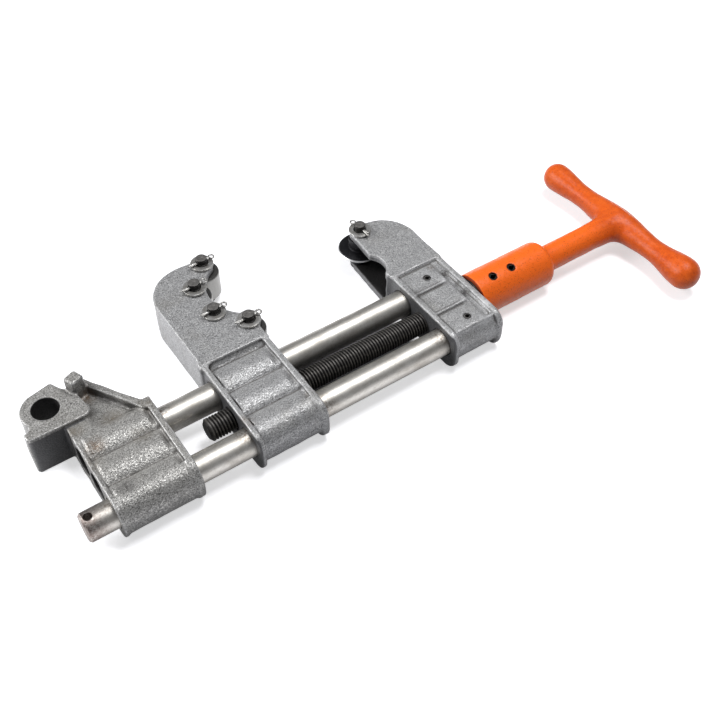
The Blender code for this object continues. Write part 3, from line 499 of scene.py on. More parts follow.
# %% Faces of a grid
def rings_to_faces(rows, columns, closed_rows=False):
    """Four-cornered faces between neighbouring rows of a grid whose columns close on themselves."""
    row = np.arange(rows if closed_rows else rows - 1)[:, None]
    column = np.arange(columns)[None, :]
    after_row, after = (row + 1) % rows, (column + 1) % columns
    corners = [row * columns + column, row * columns + after, after_row * columns + after,
               after_row * columns + column]
    return np.stack([corner.ravel() for corner in np.broadcast_arrays(*corners)], 1)


print("three open rows of four columns have", len(rings_to_faces(3, 4)), "faces")

# %% The lathe
CRISP = math.radians(38.0)     # faces that meet at more than this show a crisp corner


def turned(name, profile, centre, axis, finish, body, stands_for, segments=72, proud=None, holes=()):
    """Lathe: radius (u) and station along the axis (v) of a profile, carried once round the axis.

    The point at turn t is centre + v * axis + u * (cos t, sin t) across the axis.  A profile that starts and
    ends at radius 0 has its two poles merged, and any other one closes on itself, as a ring.
    """
    profile = np.asarray(profile)[:, :2]
    ring = profile[0, 0] > 1e-6
    turn = np.linspace(0.0, 2 * math.pi, segments, endpoint=False)
    across = np.stack([np.cos(turn), np.sin(turn)], 1)
    radius = profile[:, 0][:, None, None] * across[None]
    along = np.broadcast_to(profile[:, 1][:, None, None], (len(profile), segments, 1))
    order = {"Z": (0, 1, 2), "X": (2, 0, 1)}[axis]
    points = np.concatenate([radius, along], 2)[..., list(order)] + np.asarray(centre, float)
    faces = rings_to_faces(len(profile), segments, ring)
    marks = {"proud": np.repeat(proud(profile) if proud else np.zeros(len(profile)), segments)}
    piece = make_piece(name, points.reshape(-1, 3), faces, finish, body, stands_for, marks)
    close_poles(piece)
    for hole in holes:
        drill(piece, *hole)


def close_poles(piece, crisp=CRISP):
    """Merge the doubled points at the poles and turn every face outwards."""
    work = bmesh.new()
    work.from_mesh(piece.data)
    bmesh.ops.remove_doubles(work, verts=work.verts, dist=1e-7)
    bmesh.ops.dissolve_degenerate(work, edges=work.edges, dist=1e-7)
    bmesh.ops.recalc_face_normals(work, faces=work.faces)
    work.to_mesh(piece.data)
    work.free()
    piece.data.shade_smooth()
    piece.data.set_sharp_from_angle(angle=crisp)


# %% A hole across a turned piece
def drill(piece, radius, start, end):
    """Cut a round hole from start to end with a Boolean, and keep the result as a plain mesh."""
    start, end = Vector(metres(start)), Vector(metres(end))
    bit = bmesh.new()
    bmesh.ops.create_cone(bit, cap_ends=True, segments=40, radius1=radius / 1000.0,
                          radius2=radius / 1000.0, depth=(end - start).length)
    bit.transform(Matrix.Translation((start + end) / 2) @ (end - start).to_track_quat("Z", "Y").to_matrix().to_4x4())
    tool_mesh = bpy.data.meshes.new("bit")
    bit.to_mesh(tool_mesh)
    bit.free()
    tool = bpy.data.objects.new("bit", tool_mesh)
    bpy.context.scene.collection.objects.link(tool)
    cut = piece.modifiers.new("hole", "BOOLEAN")
    cut.operation, cut.solver, cut.object = "DIFFERENCE", "EXACT", tool
    bpy.context.view_layer.update()
    result = bpy.data.meshes.new_from_object(piece.evaluated_get(bpy.context.evaluated_depsgraph_get()))
    piece.modifiers.remove(cut)
    old, piece.data = piece.data, result
    bpy.data.meshes.remove(old)
    bpy.data.objects.remove(tool, do_unlink=True)
    bpy.data.meshes.remove(tool_mesh)
    result.shade_smooth()
    result.set_sharp_from_angle(angle=CRISP)


# %% [markdown]
# ## Guide rods
#
# Two ground bars hold the tool together.  Their ends are chamfered, the wheel frame is pinned to them, and
# the front one carries a cross hole for a stop pin near its free end.  A plain cylinder would do for the shaft,
# but a turned profile brings the chamfers with it, and a Boolean cuts the one hole.

# %% Guide rods
def bar(left, right, radius, chamfer):
    """Half section of a bar with chamfered, slightly rounded ends."""
    corners = [(0.0, left, 0.0), (radius - chamfer, left, 0.3), (radius, left + chamfer, 0.5)]
    stations = [(radius, along, 0.0) for along in np.linspace(left + 6.0, right - 6.0, 24)]
    corners += stations + [(radius, right - chamfer, 0.5), (radius - chamfer, right, 0.3), (0.0, right, 0.0)]
    return softened(corners)


ROD_RIGHT, ROD_RADIUS, ROD_CHAMFER = 260.0, 11.0, 1.5
STOP_HOLE = (3.3, (-78.8, -SPACING, 0.0), (-78.8, -SPACING, 40.0))
for side, left, y, holes in (("front", ROD_LEFT, -SPACING, [STOP_HOLE]), ("rear", -50.0, SPACING, [])):
    turned(side + "_guide_rod_ground", bar(left, ROD_RIGHT, ROD_RADIUS, ROD_CHAMFER), (0.0, y, AXIS), "X",
           "ground rod", "frame", [side + "_guide_rod"], segments=96, holes=holes)

# %% [markdown]
# ## Feed screw
#
# The thread is one surface of two numbers: the station along the screw and the turn round it.  Its radius
# depends on how far the station lies along the current pitch once the turn is taken into account, so the
# groove winds by itself.  A tooth swept along a helix could be added to a core instead, but the two meshes
# would cut into each other, and one surface stays closed.  The crests are flat and rubbed, the flanks steep.

# %% Feed screw
PITCH, CREST, ROOT = 2.5, 9.0, 7.6
SCREW_LEFT, SHOULDER, SHANK_END = 23.8, 219.0, 327.8


def thread_radius(station, turn):
    """Crest radius less a groove: 0 on the flat crest, full depth in the root, straight flanks between."""
    phase = np.abs(((station / PITCH - turn / (2 * math.pi)) % 1.0) - 0.5) * 2.0
    groove = np.clip((0.70 - phase) / 0.5, 0.0, 1.0)
    fade = np.clip((station - SCREW_LEFT - 2.4) / 3.0, 0.0, 1.0) * np.clip((SHOULDER - station) / 2.0, 0.0, 1.0)
    return CREST - (CREST - ROOT) * groove * fade


def make_screw():
    """Rows of stations, columns of turns; the end tapers as a turned point and the shank runs on plain."""
    segments = 56
    threaded = np.linspace(SCREW_LEFT + 2.0, SHOULDER, 1000)
    turn = np.linspace(0.0, 2 * math.pi, segments, endpoint=False)
    radius = thread_radius(threaded[:, None], turn[None])
    nose = softened([(0.0, SCREW_LEFT, 0.0), (6.6, SCREW_LEFT, 0.4), (9.0, SCREW_LEFT + 1.9, 0.0)])[:-1]
    tail = softened([(9.0, SHOULDER + 0.01, 0.0), (7.5, SHOULDER + 0.02, 0.0), (7.5, SHANK_END - 1.0, 0.3),
                     (6.5, SHANK_END, 0.2), (0.0, SHANK_END, 0.0)])
    radius = np.vstack([np.repeat(nose[:, :1], segments, 1), radius, np.repeat(tail[:, :1], segments, 1)])
    station = np.concatenate([nose[:, 1], threaded, tail[:, 1]])[:, None] + 0 * radius
    points = np.stack([station, radius * np.cos(turn), radius * np.sin(turn) + AXIS], 2)
    proud = np.clip((radius - 8.6) / 0.4, 0.0, 1.0)
    piece = make_piece("feed_screw_thread", points.reshape(-1, 3), rings_to_faces(len(station), segments),
                       "black screw", "drive", ["feed_screw"], {"proud": proud.ravel()})
    close_poles(piece, math.radians(40.0))
    print("thread turns", (SHOULDER - SCREW_LEFT) / PITCH)


make_screw()

# %% [markdown]
# ## Rollers, wheel and the pins that hold them
#
# Four rollers steady the pipe and the wheel cuts it.  Each turns on a blackened pin whose top carries a
# plated washer and a split pin.  They stand on one circle about the pipe's axis, so their places come from
# two angles.  All of them are turned, but for the split pins: those are a circle carried along a bent route,
# since a curve object with a bevel would still have to be made a mesh.

# %% Where the rollers and the wheel stand
PIPE = (121.5, 102.4)
ROLLER_CIRCLE = 44.8
ANGLES = {"a": 121.2, "b": 158.9, "c": -158.9, "d": -121.2}
ROLLERS = {letter: (PIPE[0] + ROLLER_CIRCLE * math.cos(math.radians(angle)),
                    PIPE[1] + ROLLER_CIRCLE * math.sin(math.radians(angle))) for letter, angle in ANGLES.items()}
WHEEL = (229.6, 102.4)
print("rollers", {letter: tuple(round(v, 2) for v in spot) for letter, spot in ROLLERS.items()})

# %% Rollers and wheel
half = 12.0
roller_profile = softened([
    (5.3, -half + 0.6, 0.3), (6.0, -half, 0.2), (12.0, -half, 0.2), (13.2, -half + 1.2, 0.8), (13.2, -4.0, 0.0),
    (13.2, 4.0, 0.0), (13.2, half - 1.2, 0.8), (12.0, half, 0.2), (9.4, half, 0.2), (8.8, half - 0.5, 0.3),
    (6.6, half - 0.5, 0.3), (6.0, half, 0.2), (5.3, half - 0.6, 0.3)])
for letter, (x, y) in ROLLERS.items():
    turned("roller_" + letter + "_turned", roller_profile, (x, y, MIDDLE), "Z", "roller steel", "roller_" + letter,
           ["roller_" + letter], proud=lambda p: np.clip((p[:, 0] - 12.4) / 0.8, 0.0, 1.0))

upper = [(5.3, 11.4, 0.0), (5.9, 12.0, 0.2), (9.0, 12.0, 0.3), (9.5, 11.4, 0.3), (9.5, 3.2, 1.0), (12.5, 2.75, 0.0),
         (17.4, 1.9, 0.4), (17.9, 1.15, 0.0), (18.4, 0.65, 0.0)]
wheel_profile = softened(upper + [(19.0, 0.0, 0.12)] + [(u, -v, r) for u, v, r in reversed(upper)])
turned("cutter_wheel_turned", wheel_profile, (*WHEEL, MIDDLE), "Z", "wheel steel", "wheel", ["cutter_wheel"],
       segments=128, proud=lambda p: np.clip((p[:, 0] - 17.9) / 0.4, 0.0, 1.0))

# %% Profiles of pins and washers
PIN_TOP = 45.6
SPLIT_HEIGHT = 41.8
pin_profile = softened([
    (0.0, 0.3, 0.0), (7.4, 0.3, 0.3), (8.0, 0.9, 0.2), (8.0, 3.0, 0.2), (5.0, 3.0, 0.0), (5.0, 30.0, 0.0),
    (5.0, 40.2, 0.2), (4.3, 40.5, 0.2), (4.1, 43.2, 0.2), (4.8, 43.6, 0.2), (4.8, PIN_TOP - 0.5, 0.35),
    (4.3, PIN_TOP, 0.25), (1.4, PIN_TOP, 0.1), (1.1, PIN_TOP - 0.25, 0.1), (0.0, PIN_TOP - 0.25, 0.0)])
washer_profile = softened([(5.3, 0.0, 0.15), (9.4, 0.0, 0.25), (9.6, 0.9, 0.3), (9.5, 1.8, 0.45), (5.5, 1.8, 0.3),
                           (5.3, 1.5, 0.1)])
print("pin", len(pin_profile), "and washer", len(washer_profile), "points round")


# %% Split pins
def split_pin_route():
    """Along one leg, round the eye and back along the other, as (u, v, height) from the pin's axis."""
    half_gap, eye, reach = 0.45, 2.2, 9.2
    opening = math.degrees(math.asin(half_gap / eye))
    neck = reach - eye * math.cos(math.radians(opening))
    legs = np.linspace(0.0, 1.0, 10)[:, None]
    long_leg = (1 - legs) * np.array([-12.4, 1.0, -0.3]) + legs * np.array([-5.0, half_gap, 0.0])
    short_leg = (1 - legs) * np.array([-5.0, -half_gap, 0.0]) + legs * np.array([-10.6, -0.8, 0.25])
    throat = np.array([[0.0, half_gap, 0.0], [neck - 1.6, half_gap, 0.0]])
    turn = np.radians(np.linspace(180.0 - opening, opening - 180.0, 22))
    loop = np.stack([reach + eye * np.cos(turn), eye * np.sin(turn), 0.0 * turn], 1)
    back = throat[::-1] * np.array([1.0, -1.0, 1.0])
    return np.vstack([long_leg, throat, loop, back, short_leg])


SIDES = 10


def swept_wire(route, radius, turn, centre):
    """Circle carried along a route: two directions across the wire come from its tangent and straight up."""
    tangent = np.gradient(route, axis=0)
    tangent /= np.linalg.norm(tangent, axis=1, keepdims=True)
    first = np.cross(tangent, [0.0, 0.0, 1.0])
    first /= np.linalg.norm(first, axis=1, keepdims=True)
    second = np.cross(first, tangent)
    cap, beyond = np.array([0.05, 0.65, 0.92]), np.array([[0.35], [0.2]])
    size = radius * np.concatenate([cap, np.ones(len(route) - 2), cap[::-1]])
    route = np.vstack([route[:1] - tangent[:1] * beyond, route, route[-1:] + tangent[-1:] * beyond[::-1]])
    first, second = (np.vstack([way[:1], way[:1], way, way[-1:], way[-1:]]) for way in (first, second))
    angle = np.linspace(0.0, 2 * math.pi, SIDES, endpoint=False)
    across = first[:, None] * np.cos(angle)[None, :, None] + second[:, None] * np.sin(angle)[None, :, None]
    points = route[:, None] + across * size[:, None, None]
    spin = np.array([[math.cos(turn), math.sin(turn), 0], [-math.sin(turn), math.cos(turn), 0], [0, 0, 1]])
    return points.reshape(-1, 3) @ spin + np.asarray(centre, float)


def close_ends(piece):
    """Fill the two small openings at the tips of a wire."""
    work = bmesh.new()
    work.from_mesh(piece.data)
    bmesh.ops.holes_fill(work, edges=[edge for edge in work.edges if edge.is_boundary])
    bmesh.ops.recalc_face_normals(work, faces=work.faces)
    work.to_mesh(piece.data)
    work.free()
    piece.data.shade_smooth()


# %% Pins, washers and split pins in place
def hold_pin(kind, x, y, body, turn):
    """One pin with its washer and split pin; kind is roller_pin_a and so on."""
    letter = "_" + kind.split("_")[-1] if kind != "wheel_pin" else ""
    family = kind.split("_")[0]
    reach = Vector((math.cos(turn), math.sin(turn), 0.0)) * 7.0
    centre = Vector((x, y, SPLIT_HEIGHT))
    turned(kind + "_turned", pin_profile, (x, y, 0.0), "Z", "black pin", body, [kind], segments=48,
           proud=lambda p: np.where(p[:, 1] > PIN_TOP - 0.35, 0.86, 0.0),
           holes=[(1.75, tuple(centre - reach), tuple(centre + reach))])
    turned(family + "_washer" + letter + "_plated", washer_profile, (x, y, 38.3), "Z", "zinc plate", body,
           [family + "_washer" + letter], segments=64)
    points = swept_wire(split_pin_route(), 0.76, turn, (x, y, SPLIT_HEIGHT))
    faces = rings_to_faces(len(points) // SIDES, SIDES)
    close_ends(make_piece(family + "_split_pin" + letter + "_wire", points, faces, "zinc plate", body,
                          [family + "_split_pin" + letter]))


for letter, (x, y) in ROLLERS.items():
    hold_pin("roller_pin_" + letter, x, y, "carriage", math.radians(4.0))
hold_pin("wheel_pin", *WHEEL, "frame", math.radians(96.0))

# %% [markdown]
# ## Spring pins and the thrust washer
#
# A spring pin is a strip rolled into a tube with a slot down its side.  It could be a tube with a slot cut by
# a Boolean.  Its section is simple enough to write down, though: one closed outline, outer arc out and inner
# arc back, carried along the pin and capped by joining the two arcs.

# %% Spring pins and thrust washer
def spring_pin(name, stands_for, radius, low, high, centre, tilt, body, rubbed):
    """Slotted tube: closed outline of two arcs, carried from low to high with chamfered ends."""
    count, wall, slot = 28, 0.9, math.radians(24.0)
    turn = np.linspace(slot, 2 * math.pi - slot, count)
    outer = np.stack([np.cos(turn), np.sin(turn)], 1)
    rows = [(0.25, low), (0.0, low + 0.5), (0.0, high - 0.5), (0.25, high)]
    points = [np.vstack([np.c_[outer * (radius - inset), np.full(count, along)],
                         np.c_[outer[::-1] * (radius - wall + inset * 0.3), np.full(count, along)]])
              for inset, along in rows]
    faces = rings_to_faces(4, 2 * count)
    step = np.arange(count - 1)
    low_cap = np.stack([step, step + 1, 2 * count - 2 - step, 2 * count - 1 - step], 1)
    faces = np.vstack([faces, low_cap, low_cap + 6 * count])
    lean = np.array([[1, 0, 0], [0, math.cos(tilt), math.sin(tilt)], [0, -math.sin(tilt), math.cos(tilt)]])
    points = np.vstack(points) @ lean + np.asarray(centre, float)
    shine = np.array([[0.6, 0.0], [0.2, 0.0], [0.8, 0.0], [1.0, 0.7]]) * rubbed
    piece = make_piece(name, points, faces, "black pin", body, [stands_for],
                       {"proud": np.repeat(shine.ravel(), count)})
    close_poles(piece, math.radians(40.0))


FRAME_MIDDLE, COLLAR_LEFT = 243.6, 270.1
HANDLE_PINS = (COLLAR_LEFT + 17.0, COLLAR_LEFT + 36.3)
TILT = math.radians(15.0)
for side, y in (("front", -SPACING), ("rear", SPACING)):
    spring_pin(side + "_rod_spring_pin", side + "_rod_roll_pin", 2.6, 4.0, 35.6, (FRAME_MIDDLE, y, 0.0), 0.0,
               "frame", 1.0)
for place, x in zip(("inner", "outer"), HANDLE_PINS):
    spring_pin(place + "_handle_spring_pin", place + "_handle_pin", 3.0, -18.4, 18.4, (x, 0.0, AXIS), TILT,
               "drive", 0.0)
ring_profile = softened([(SHANK_BORE, 0.0, 0.2), (16.8, 0.0, 0.3), (16.8, 1.6, 0.3), (SHANK_BORE, 1.6, 0.2)])
turned("thrust_washer_turned", ring_profile, (268.2, 0.0, AXIS), "X", "black pin", "frame", ["thrust_washer"])

# %% [markdown]
# ## Castings as distance fields
#
# A casting has a small radius on every edge and a fillet in every corner, and bevelling a mesh with bores and
# pockets all over it breaks easily.  So the three castings and the handle are written as distances instead:
# one function gives, for whole arrays of points, how far each lies outside the metal (negative inside).  Two
# blocks join with a fillet when their distances are blended near the corner, and a cut edge is rounded in the
# same way.  A net is then laid where the distance is zero: one point in every cell that the surface crosses,
# one four-cornered face for every grid edge that it cuts, and two Newton steps that pull the points exactly
# onto the surface.

# %% Distance to an outline
def outline_distance(outline, u, v):
    """Distance to a closed outline: the nearest point over all its sides, and the sign by counting crossings."""
    u, v = np.broadcast_arrays(u, v)
    nearest = np.full(u.shape, 1e9)
    inside = np.zeros(u.shape, bool)
    for (au, av), (bu, bv) in zip(outline, np.roll(outline, -1, 0)):
        du, dv = bu - au, bv - av
        length = du * du + dv * dv
        if length < 1e-12:
            continue
        share = np.clip(((u - au) * du + (v - av) * dv) / length, 0.0, 1.0)
        nearest = np.minimum(nearest, (u - au - share * du) ** 2 + (v - av - share * dv) ** 2)
        if dv != 0.0:
            inside ^= ((av > v) != (bv > v)) & (u < au + (v - av) * du / dv)
    return np.where(inside, -1.0, 1.0) * np.sqrt(nearest)


square = [(0.0, 0.0), (10.0, 0.0), (10.0, 10.0), (0.0, 10.0)]
print("2 mm inside a square the distance is", float(outline_distance(square, 5.0, 2.0)))


# %% Joining and cutting
def both(a, b, radius):
    """Inside both shapes, with the outer edge between them rounded to a radius."""
    across = np.hypot(np.maximum(a + radius, 0.0), np.maximum(b + radius, 0.0))
    return np.minimum(np.maximum(a, b), -radius) + across


def joined(a, b, radius):
    """Inside either shape, with the corner between them filled to a radius."""
    across = np.hypot(np.maximum(radius - a, 0.0), np.maximum(radius - b, 0.0))
    return np.maximum(np.minimum(a, b), radius) - across


def cut(a, b, radius):
    """Inside the first but outside the second, with the cut's edge rounded."""
    return both(a, -b, radius)


def between(value, low, high):
    """Distance to the slab between two values."""
    return np.maximum(low - value, value - high)


def ramp(value, low, high):
    """0 below low, 1 above high, eased in between."""
    share = np.clip((value - low) / (high - low), 0.0, 1.0)
    return share * share * (3.0 - 2.0 * share)


print("0.5 mm from both walls of a corner with a 2 mm fillet it is", round(float(joined(0.5, 0.5, 2.0)), 3))


# %% The mould's unevenness
def cast_waves(x, y, z, seed, length, height):
    """A few plane waves in seeded directions: the slow unevenness of a sand mould."""
    chance = np.random.default_rng(seed)
    total = 0.0
    for _ in range(7):
        turn = chance.normal(size=3)
        turn *= 2 * math.pi / (length * chance.uniform(0.7, 1.6) * np.linalg.norm(turn))
        total = total + np.sin(x * turn[0] + y * turn[1] + z * turn[2] + chance.uniform(0.0, 6.28))
    return total * height / 2.6


print("waves at the tool's origin", round(float(cast_waves(0.0, 0.0, 0.0, 3, 15.0, 0.12)), 3))

# %% The net
CORNERS = [(i, j, k) for i in (0, 1) for j in (0, 1) for k in (0, 1)]
EDGES = [(a, b) for a in range(8) for b in range(a + 1, 8)
         if sum(p != q for p, q in zip(CORNERS[a], CORNERS[b])) == 1]


def lay_net(distance, low, high, cell):
    """One point per crossed cell, at the mean of its crossed edges, and one face per crossed grid edge."""
    low = np.array(low, float)
    axes = [np.arange(low[k], high[k] + cell, cell) for k in range(3)]
    field = distance(axes[0][:, None, None], axes[1][None, :, None], axes[2][None, None, :]).astype(np.float32)
    solid = field < 0.0
    size = [n - 1 for n in field.shape]
    count = sum(solid[i:i + size[0], j:j + size[1], k:k + size[2]].astype(np.int8) for i, j, k in CORNERS)
    crossed = (count > 0) & (count < 8)
    cells = np.argwhere(crossed)
    number = np.full(crossed.shape, -1, np.int32)
    number[crossed] = np.arange(len(cells))
    value = [field[tuple((cells + corner).T)] for corner in CORNERS]
    total, crossings = np.zeros((len(cells), 3)), np.zeros(len(cells))
    for a, b in EDGES:
        change = (value[a] < 0.0) != (value[b] < 0.0)
        share = value[a][change] / (value[a][change] - value[b][change])
        start, way = np.array(CORNERS[a]), np.array(CORNERS[b]) - np.array(CORNERS[a])
        total[change] += start + share[:, None] * way
        crossings[change] += 1
    points = low + (cells + total / crossings[:, None]) * cell
    faces = []
    for axis in range(3):
        a, b = (axis + 1) % 3, (axis + 2) % 3
        first = np.moveaxis(solid, (axis, a, b), (0, 1, 2))
        near_cells = np.moveaxis(number, (axis, a, b), (0, 1, 2))
        here, there = first[:-1, 1:-1, 1:-1], first[1:, 1:-1, 1:-1]
        ring = [near_cells[:, :-1, :-1], near_cells[:, 1:, :-1], near_cells[:, 1:, 1:], near_cells[:, :-1, 1:]]
        for leaving, order in ((here & ~there, (0, 1, 2, 3)), (there & ~here, (3, 2, 1, 0))):
            faces.append(np.stack([ring[spot][leaving] for spot in order], 1))
    return points, np.vstack(faces)


print("a cell has", len(CORNERS), "corners and", len(EDGES), "edges")


# %% From a distance to a casting
def slope(distance, points, step):
    """Gradient of the distance by differences, and the sum of its samples."""
    ways = np.eye(3) * step
    ahead = [distance(*(points + way).T) for way in ways]
    behind = [distance(*(points - way).T) for way in ways]
    gradient = np.stack([(a - b) / (2 * step) for a, b in zip(ahead, behind)], 1)
    return gradient, sum(ahead) + sum(behind)


def make_casting(name, distance, bores, low, high, cell, finish, body, stands_for):
    """Net, Newton steps onto the surface, then how convex, hollow and hidden each point is, or if it is bored."""
    points, faces = lay_net(distance, low, high, cell)
    for _ in range(2):
        gradient, _ = slope(distance, points, 0.05)
        length = np.maximum((gradient ** 2).sum(1), 0.3)
        move = distance(*points.T)[:, None] * gradient / length[:, None]
        points = points - np.clip(move, -0.45 * cell, 0.45 * cell)
    gradient, total = slope(distance, points, 1.3)
    normal = gradient / np.maximum(np.linalg.norm(gradient, axis=1, keepdims=True), 1e-6)
    bend = (total - 6 * distance(*points.T)) / 1.3 ** 2
    hidden = 1.0 - np.minimum.reduce([np.clip(distance(*(points + normal * reach).T) / reach, 0.0, 1.0)
                                      for reach in (3.0, 7.0, 12.0)])
    bored = np.clip(1.0 - (bores(*points.T) - 0.15) / 0.5, 0.0, 1.0)
    marks = {"edge": np.clip(bend * 0.8, 0.0, 1.0), "hollow": np.clip(-bend * 0.8, 0.0, 1.0), "hidden": hidden,
             "bored": bored}
    print(name, "triangles", 2 * len(faces), "off the surface by", round(float(np.abs(distance(*points.T)).max()), 3))
    return make_piece(name, points, faces, finish, body, stands_for, marks)


# %% [markdown]
# ## The sleeve that the castings share
#
# Each casting slides on, or holds, the two rods and the screw.  Its sleeve swells over each of the three
# passages, with a crease between the swellings, and ends in a flange at either side.  Three joined cylinders
# would give swellings too, but too round ones, so the top is written as a height with an arc over each passage.

# %% Sleeve
CREST_TOP, VALLEY_DROP, HALF_STEP = 36.5, 4.8, 13.0
SWELL = (HALF_STEP ** 2 + VALLEY_DROP ** 2) / (2 * VALLEY_DROP)
print("radius of a swelling", round(SWELL, 2))


def swelling(x, y, left, right, ends):
    """Height of the sleeve's top: an arc over each passage, easing down a little towards the flanges."""
    off = y - SPACING * np.round(y / SPACING)
    arch = CREST_TOP - SWELL + np.sqrt(SWELL ** 2 - np.minimum(off ** 2, HALF_STEP ** 2))
    fade = ramp(x, left, left + ends[0]) * ramp(-x, -right, -right + ends[1])
    floor = CREST_TOP - VALLEY_DROP + 1.9
    return np.minimum(arch, floor + (arch - floor) * fade)


def sleeve(x, y, z, left, right, ends, back):
    """Section through the passages: swellings above and below, a round front, a flat back."""
    rise = np.abs(z - MIDDLE)
    top = (rise - (swelling(x, y, left, right, ends) - MIDDLE)) * 0.95
    front = np.hypot(y + SPACING, np.maximum(rise - 1.0, 0.0)) - 16.5
    body = np.where(y < -SPACING, front, top)
    return np.maximum(np.maximum(body, y - back), between(x, left - 2.0, right + 2.0))


# %% Flange, draft, bores and room
CHEEK_TOP, ROOM_FLOOR, ROOM_ROOF = 38.0, 6.7, 31.3
ROD_BORE, PIN_HOLE, HEAD_SEAT, HEAD_TOP, SPOT_FACE, SPOT_DEPTH = 11.3, 5.3, 8.3, 3.3, 10.6, 0.35
print("clearance of the rods", round(ROD_BORE - ROD_RADIUS, 2), "and height of the rooms", ROOM_ROOF - ROOM_FLOOR)


def flange(x, y, z, left, right, front, corner, back, edge):
    """Plate across the rods with rounded front corners."""
    rise = np.abs(z - MIDDLE)
    section = np.hypot(np.maximum(-y - (front - corner), 0.0), np.maximum(rise - (MIDDLE - corner), 0.0)) - corner
    return both(np.maximum(section, y - back), between(x, left, right), edge)


def drafted(shape, z):
    """A side wall leans out a little towards the mould's parting plane."""
    return shape - 0.35 * (1.0 - np.abs(z - MIDDLE) / MIDDLE)


def rod_bores(y, z):
    """Both rods' passages, endless along X."""
    return np.hypot(np.abs(y) - SPACING, z - AXIS) - ROD_BORE


def bore_up(x, y, z, centre, radius, low, high):
    """Round hole along Z."""
    return np.maximum(np.hypot(x - centre[0], y - centre[1]) - radius, between(z, low, high))


def pin_seats(x, y, z, spots):
    """Through holes for the rollers' or the wheel's pins, and the wider seats of their heads underneath."""
    return np.minimum.reduce([bore_up(x, y, z, spot, radius, -2.0, high)
                              for spot in spots for radius, high in ((PIN_HOLE, 40.0), (HEAD_SEAT, HEAD_TOP))])


def spot_faces(x, y, z, spots):
    """Shallow machined rings about the pins in the top of a cheek."""
    return np.minimum.reduce([bore_up(x, y, z, spot, SPOT_FACE, CHEEK_TOP - SPOT_DEPTH, 41.0) for spot in spots])


def room(outline, x, y, z):
    """The room between two cheeks, with a rounded floor and roof."""
    return both(outline_distance(outline, x, y), between(z, ROOM_FLOOR, ROOM_ROOF), 2.5)


# %% [markdown]
# ## Hinge bracket
#
# The bracket hangs the tool on the machine.  A plate with the hinge bore stands off the sleeve on a sloping
# neck, and a rib with a square lug stiffens the web between them.  Each is an outline with a height, and they
# are joined one after the other, each with the fillet that the mould gave it.

# %% The bracket's outlines
HINGE = (-67.2, 70.0)
hinge_outline = softened(
    [(HINGE[0] - 20.1, 48.5, 1.0), (HINGE[0] - 22.1, 50.5, 1.0), (HINGE[0] - 22.1, HINGE[1] - 13.8, 1.2),
     (HINGE[0] - 17.3, HINGE[1] - 12.4, 2.0)]
    + arc(*HINGE, 18.4, 205.0, 112.0, 20)
    + [(HINGE[0] + 12.0, HINGE[1] + 20.8, 1.6), (HINGE[0] + 17.6, HINGE[1] + 11.2, 3.0),
       (HINGE[0] + 24.0, HINGE[1] + 4.0, 4.0)]
    + arc(HINGE[0] + 20.2, 55.5, 7.0, 30.0, -90.0, 10))
neck_outline = softened([(-61.9, 30.0, 0.0), (-33.0, 30.0, 0.0), (-33.0, 52.0, 4.0), (-61.9, 52.0, 0.0)])
web_outline = softened([(-42.0, 33.0, 0.0), (-6.5, 33.0, 0.0), (-35.0, 77.0, 0.0), (-42.7, 75.0, 0.0),
                        (-43.0, 48.5, 0.0)])
rib_start, rib_end = np.array([-35.0, 80.5]), np.array([-6.5, 35.0])
rib_way = (rib_end - rib_start) / np.linalg.norm(rib_end - rib_start)
LUG, LUG_TURN = (-40.7, 77.0), math.radians(22.0)
print("hinge plate", len(hinge_outline), "corners, rib", round(float(np.linalg.norm(rib_end - rib_start)), 1), "long")


# %% Hinge bracket
def rib_distance(x, y):
    """Distance to the rib's middle line less half its width, a little wider at its foot."""
    along = np.clip((x - rib_start[0]) * rib_way[0] + (y - rib_start[1]) * rib_way[1], 0.0, 54.0)
    gap = np.hypot(x - rib_start[0] - along * rib_way[0], y - rib_start[1] - along * rib_way[1])
    return gap - 2.7 - 0.8 * ramp(along, 38.0, 54.0)


def bracket_bores(x, y, z):
    """The two rod bores, the clearance bore for the screw and the hinge bore."""
    along = np.minimum(rod_bores(y, z), np.hypot(y, z - AXIS) - 10.5)
    return np.minimum(np.maximum(along, between(x, -64.0, 2.0)), bore_up(x, y, z, HINGE, 10.2, -2.0, 40.0))


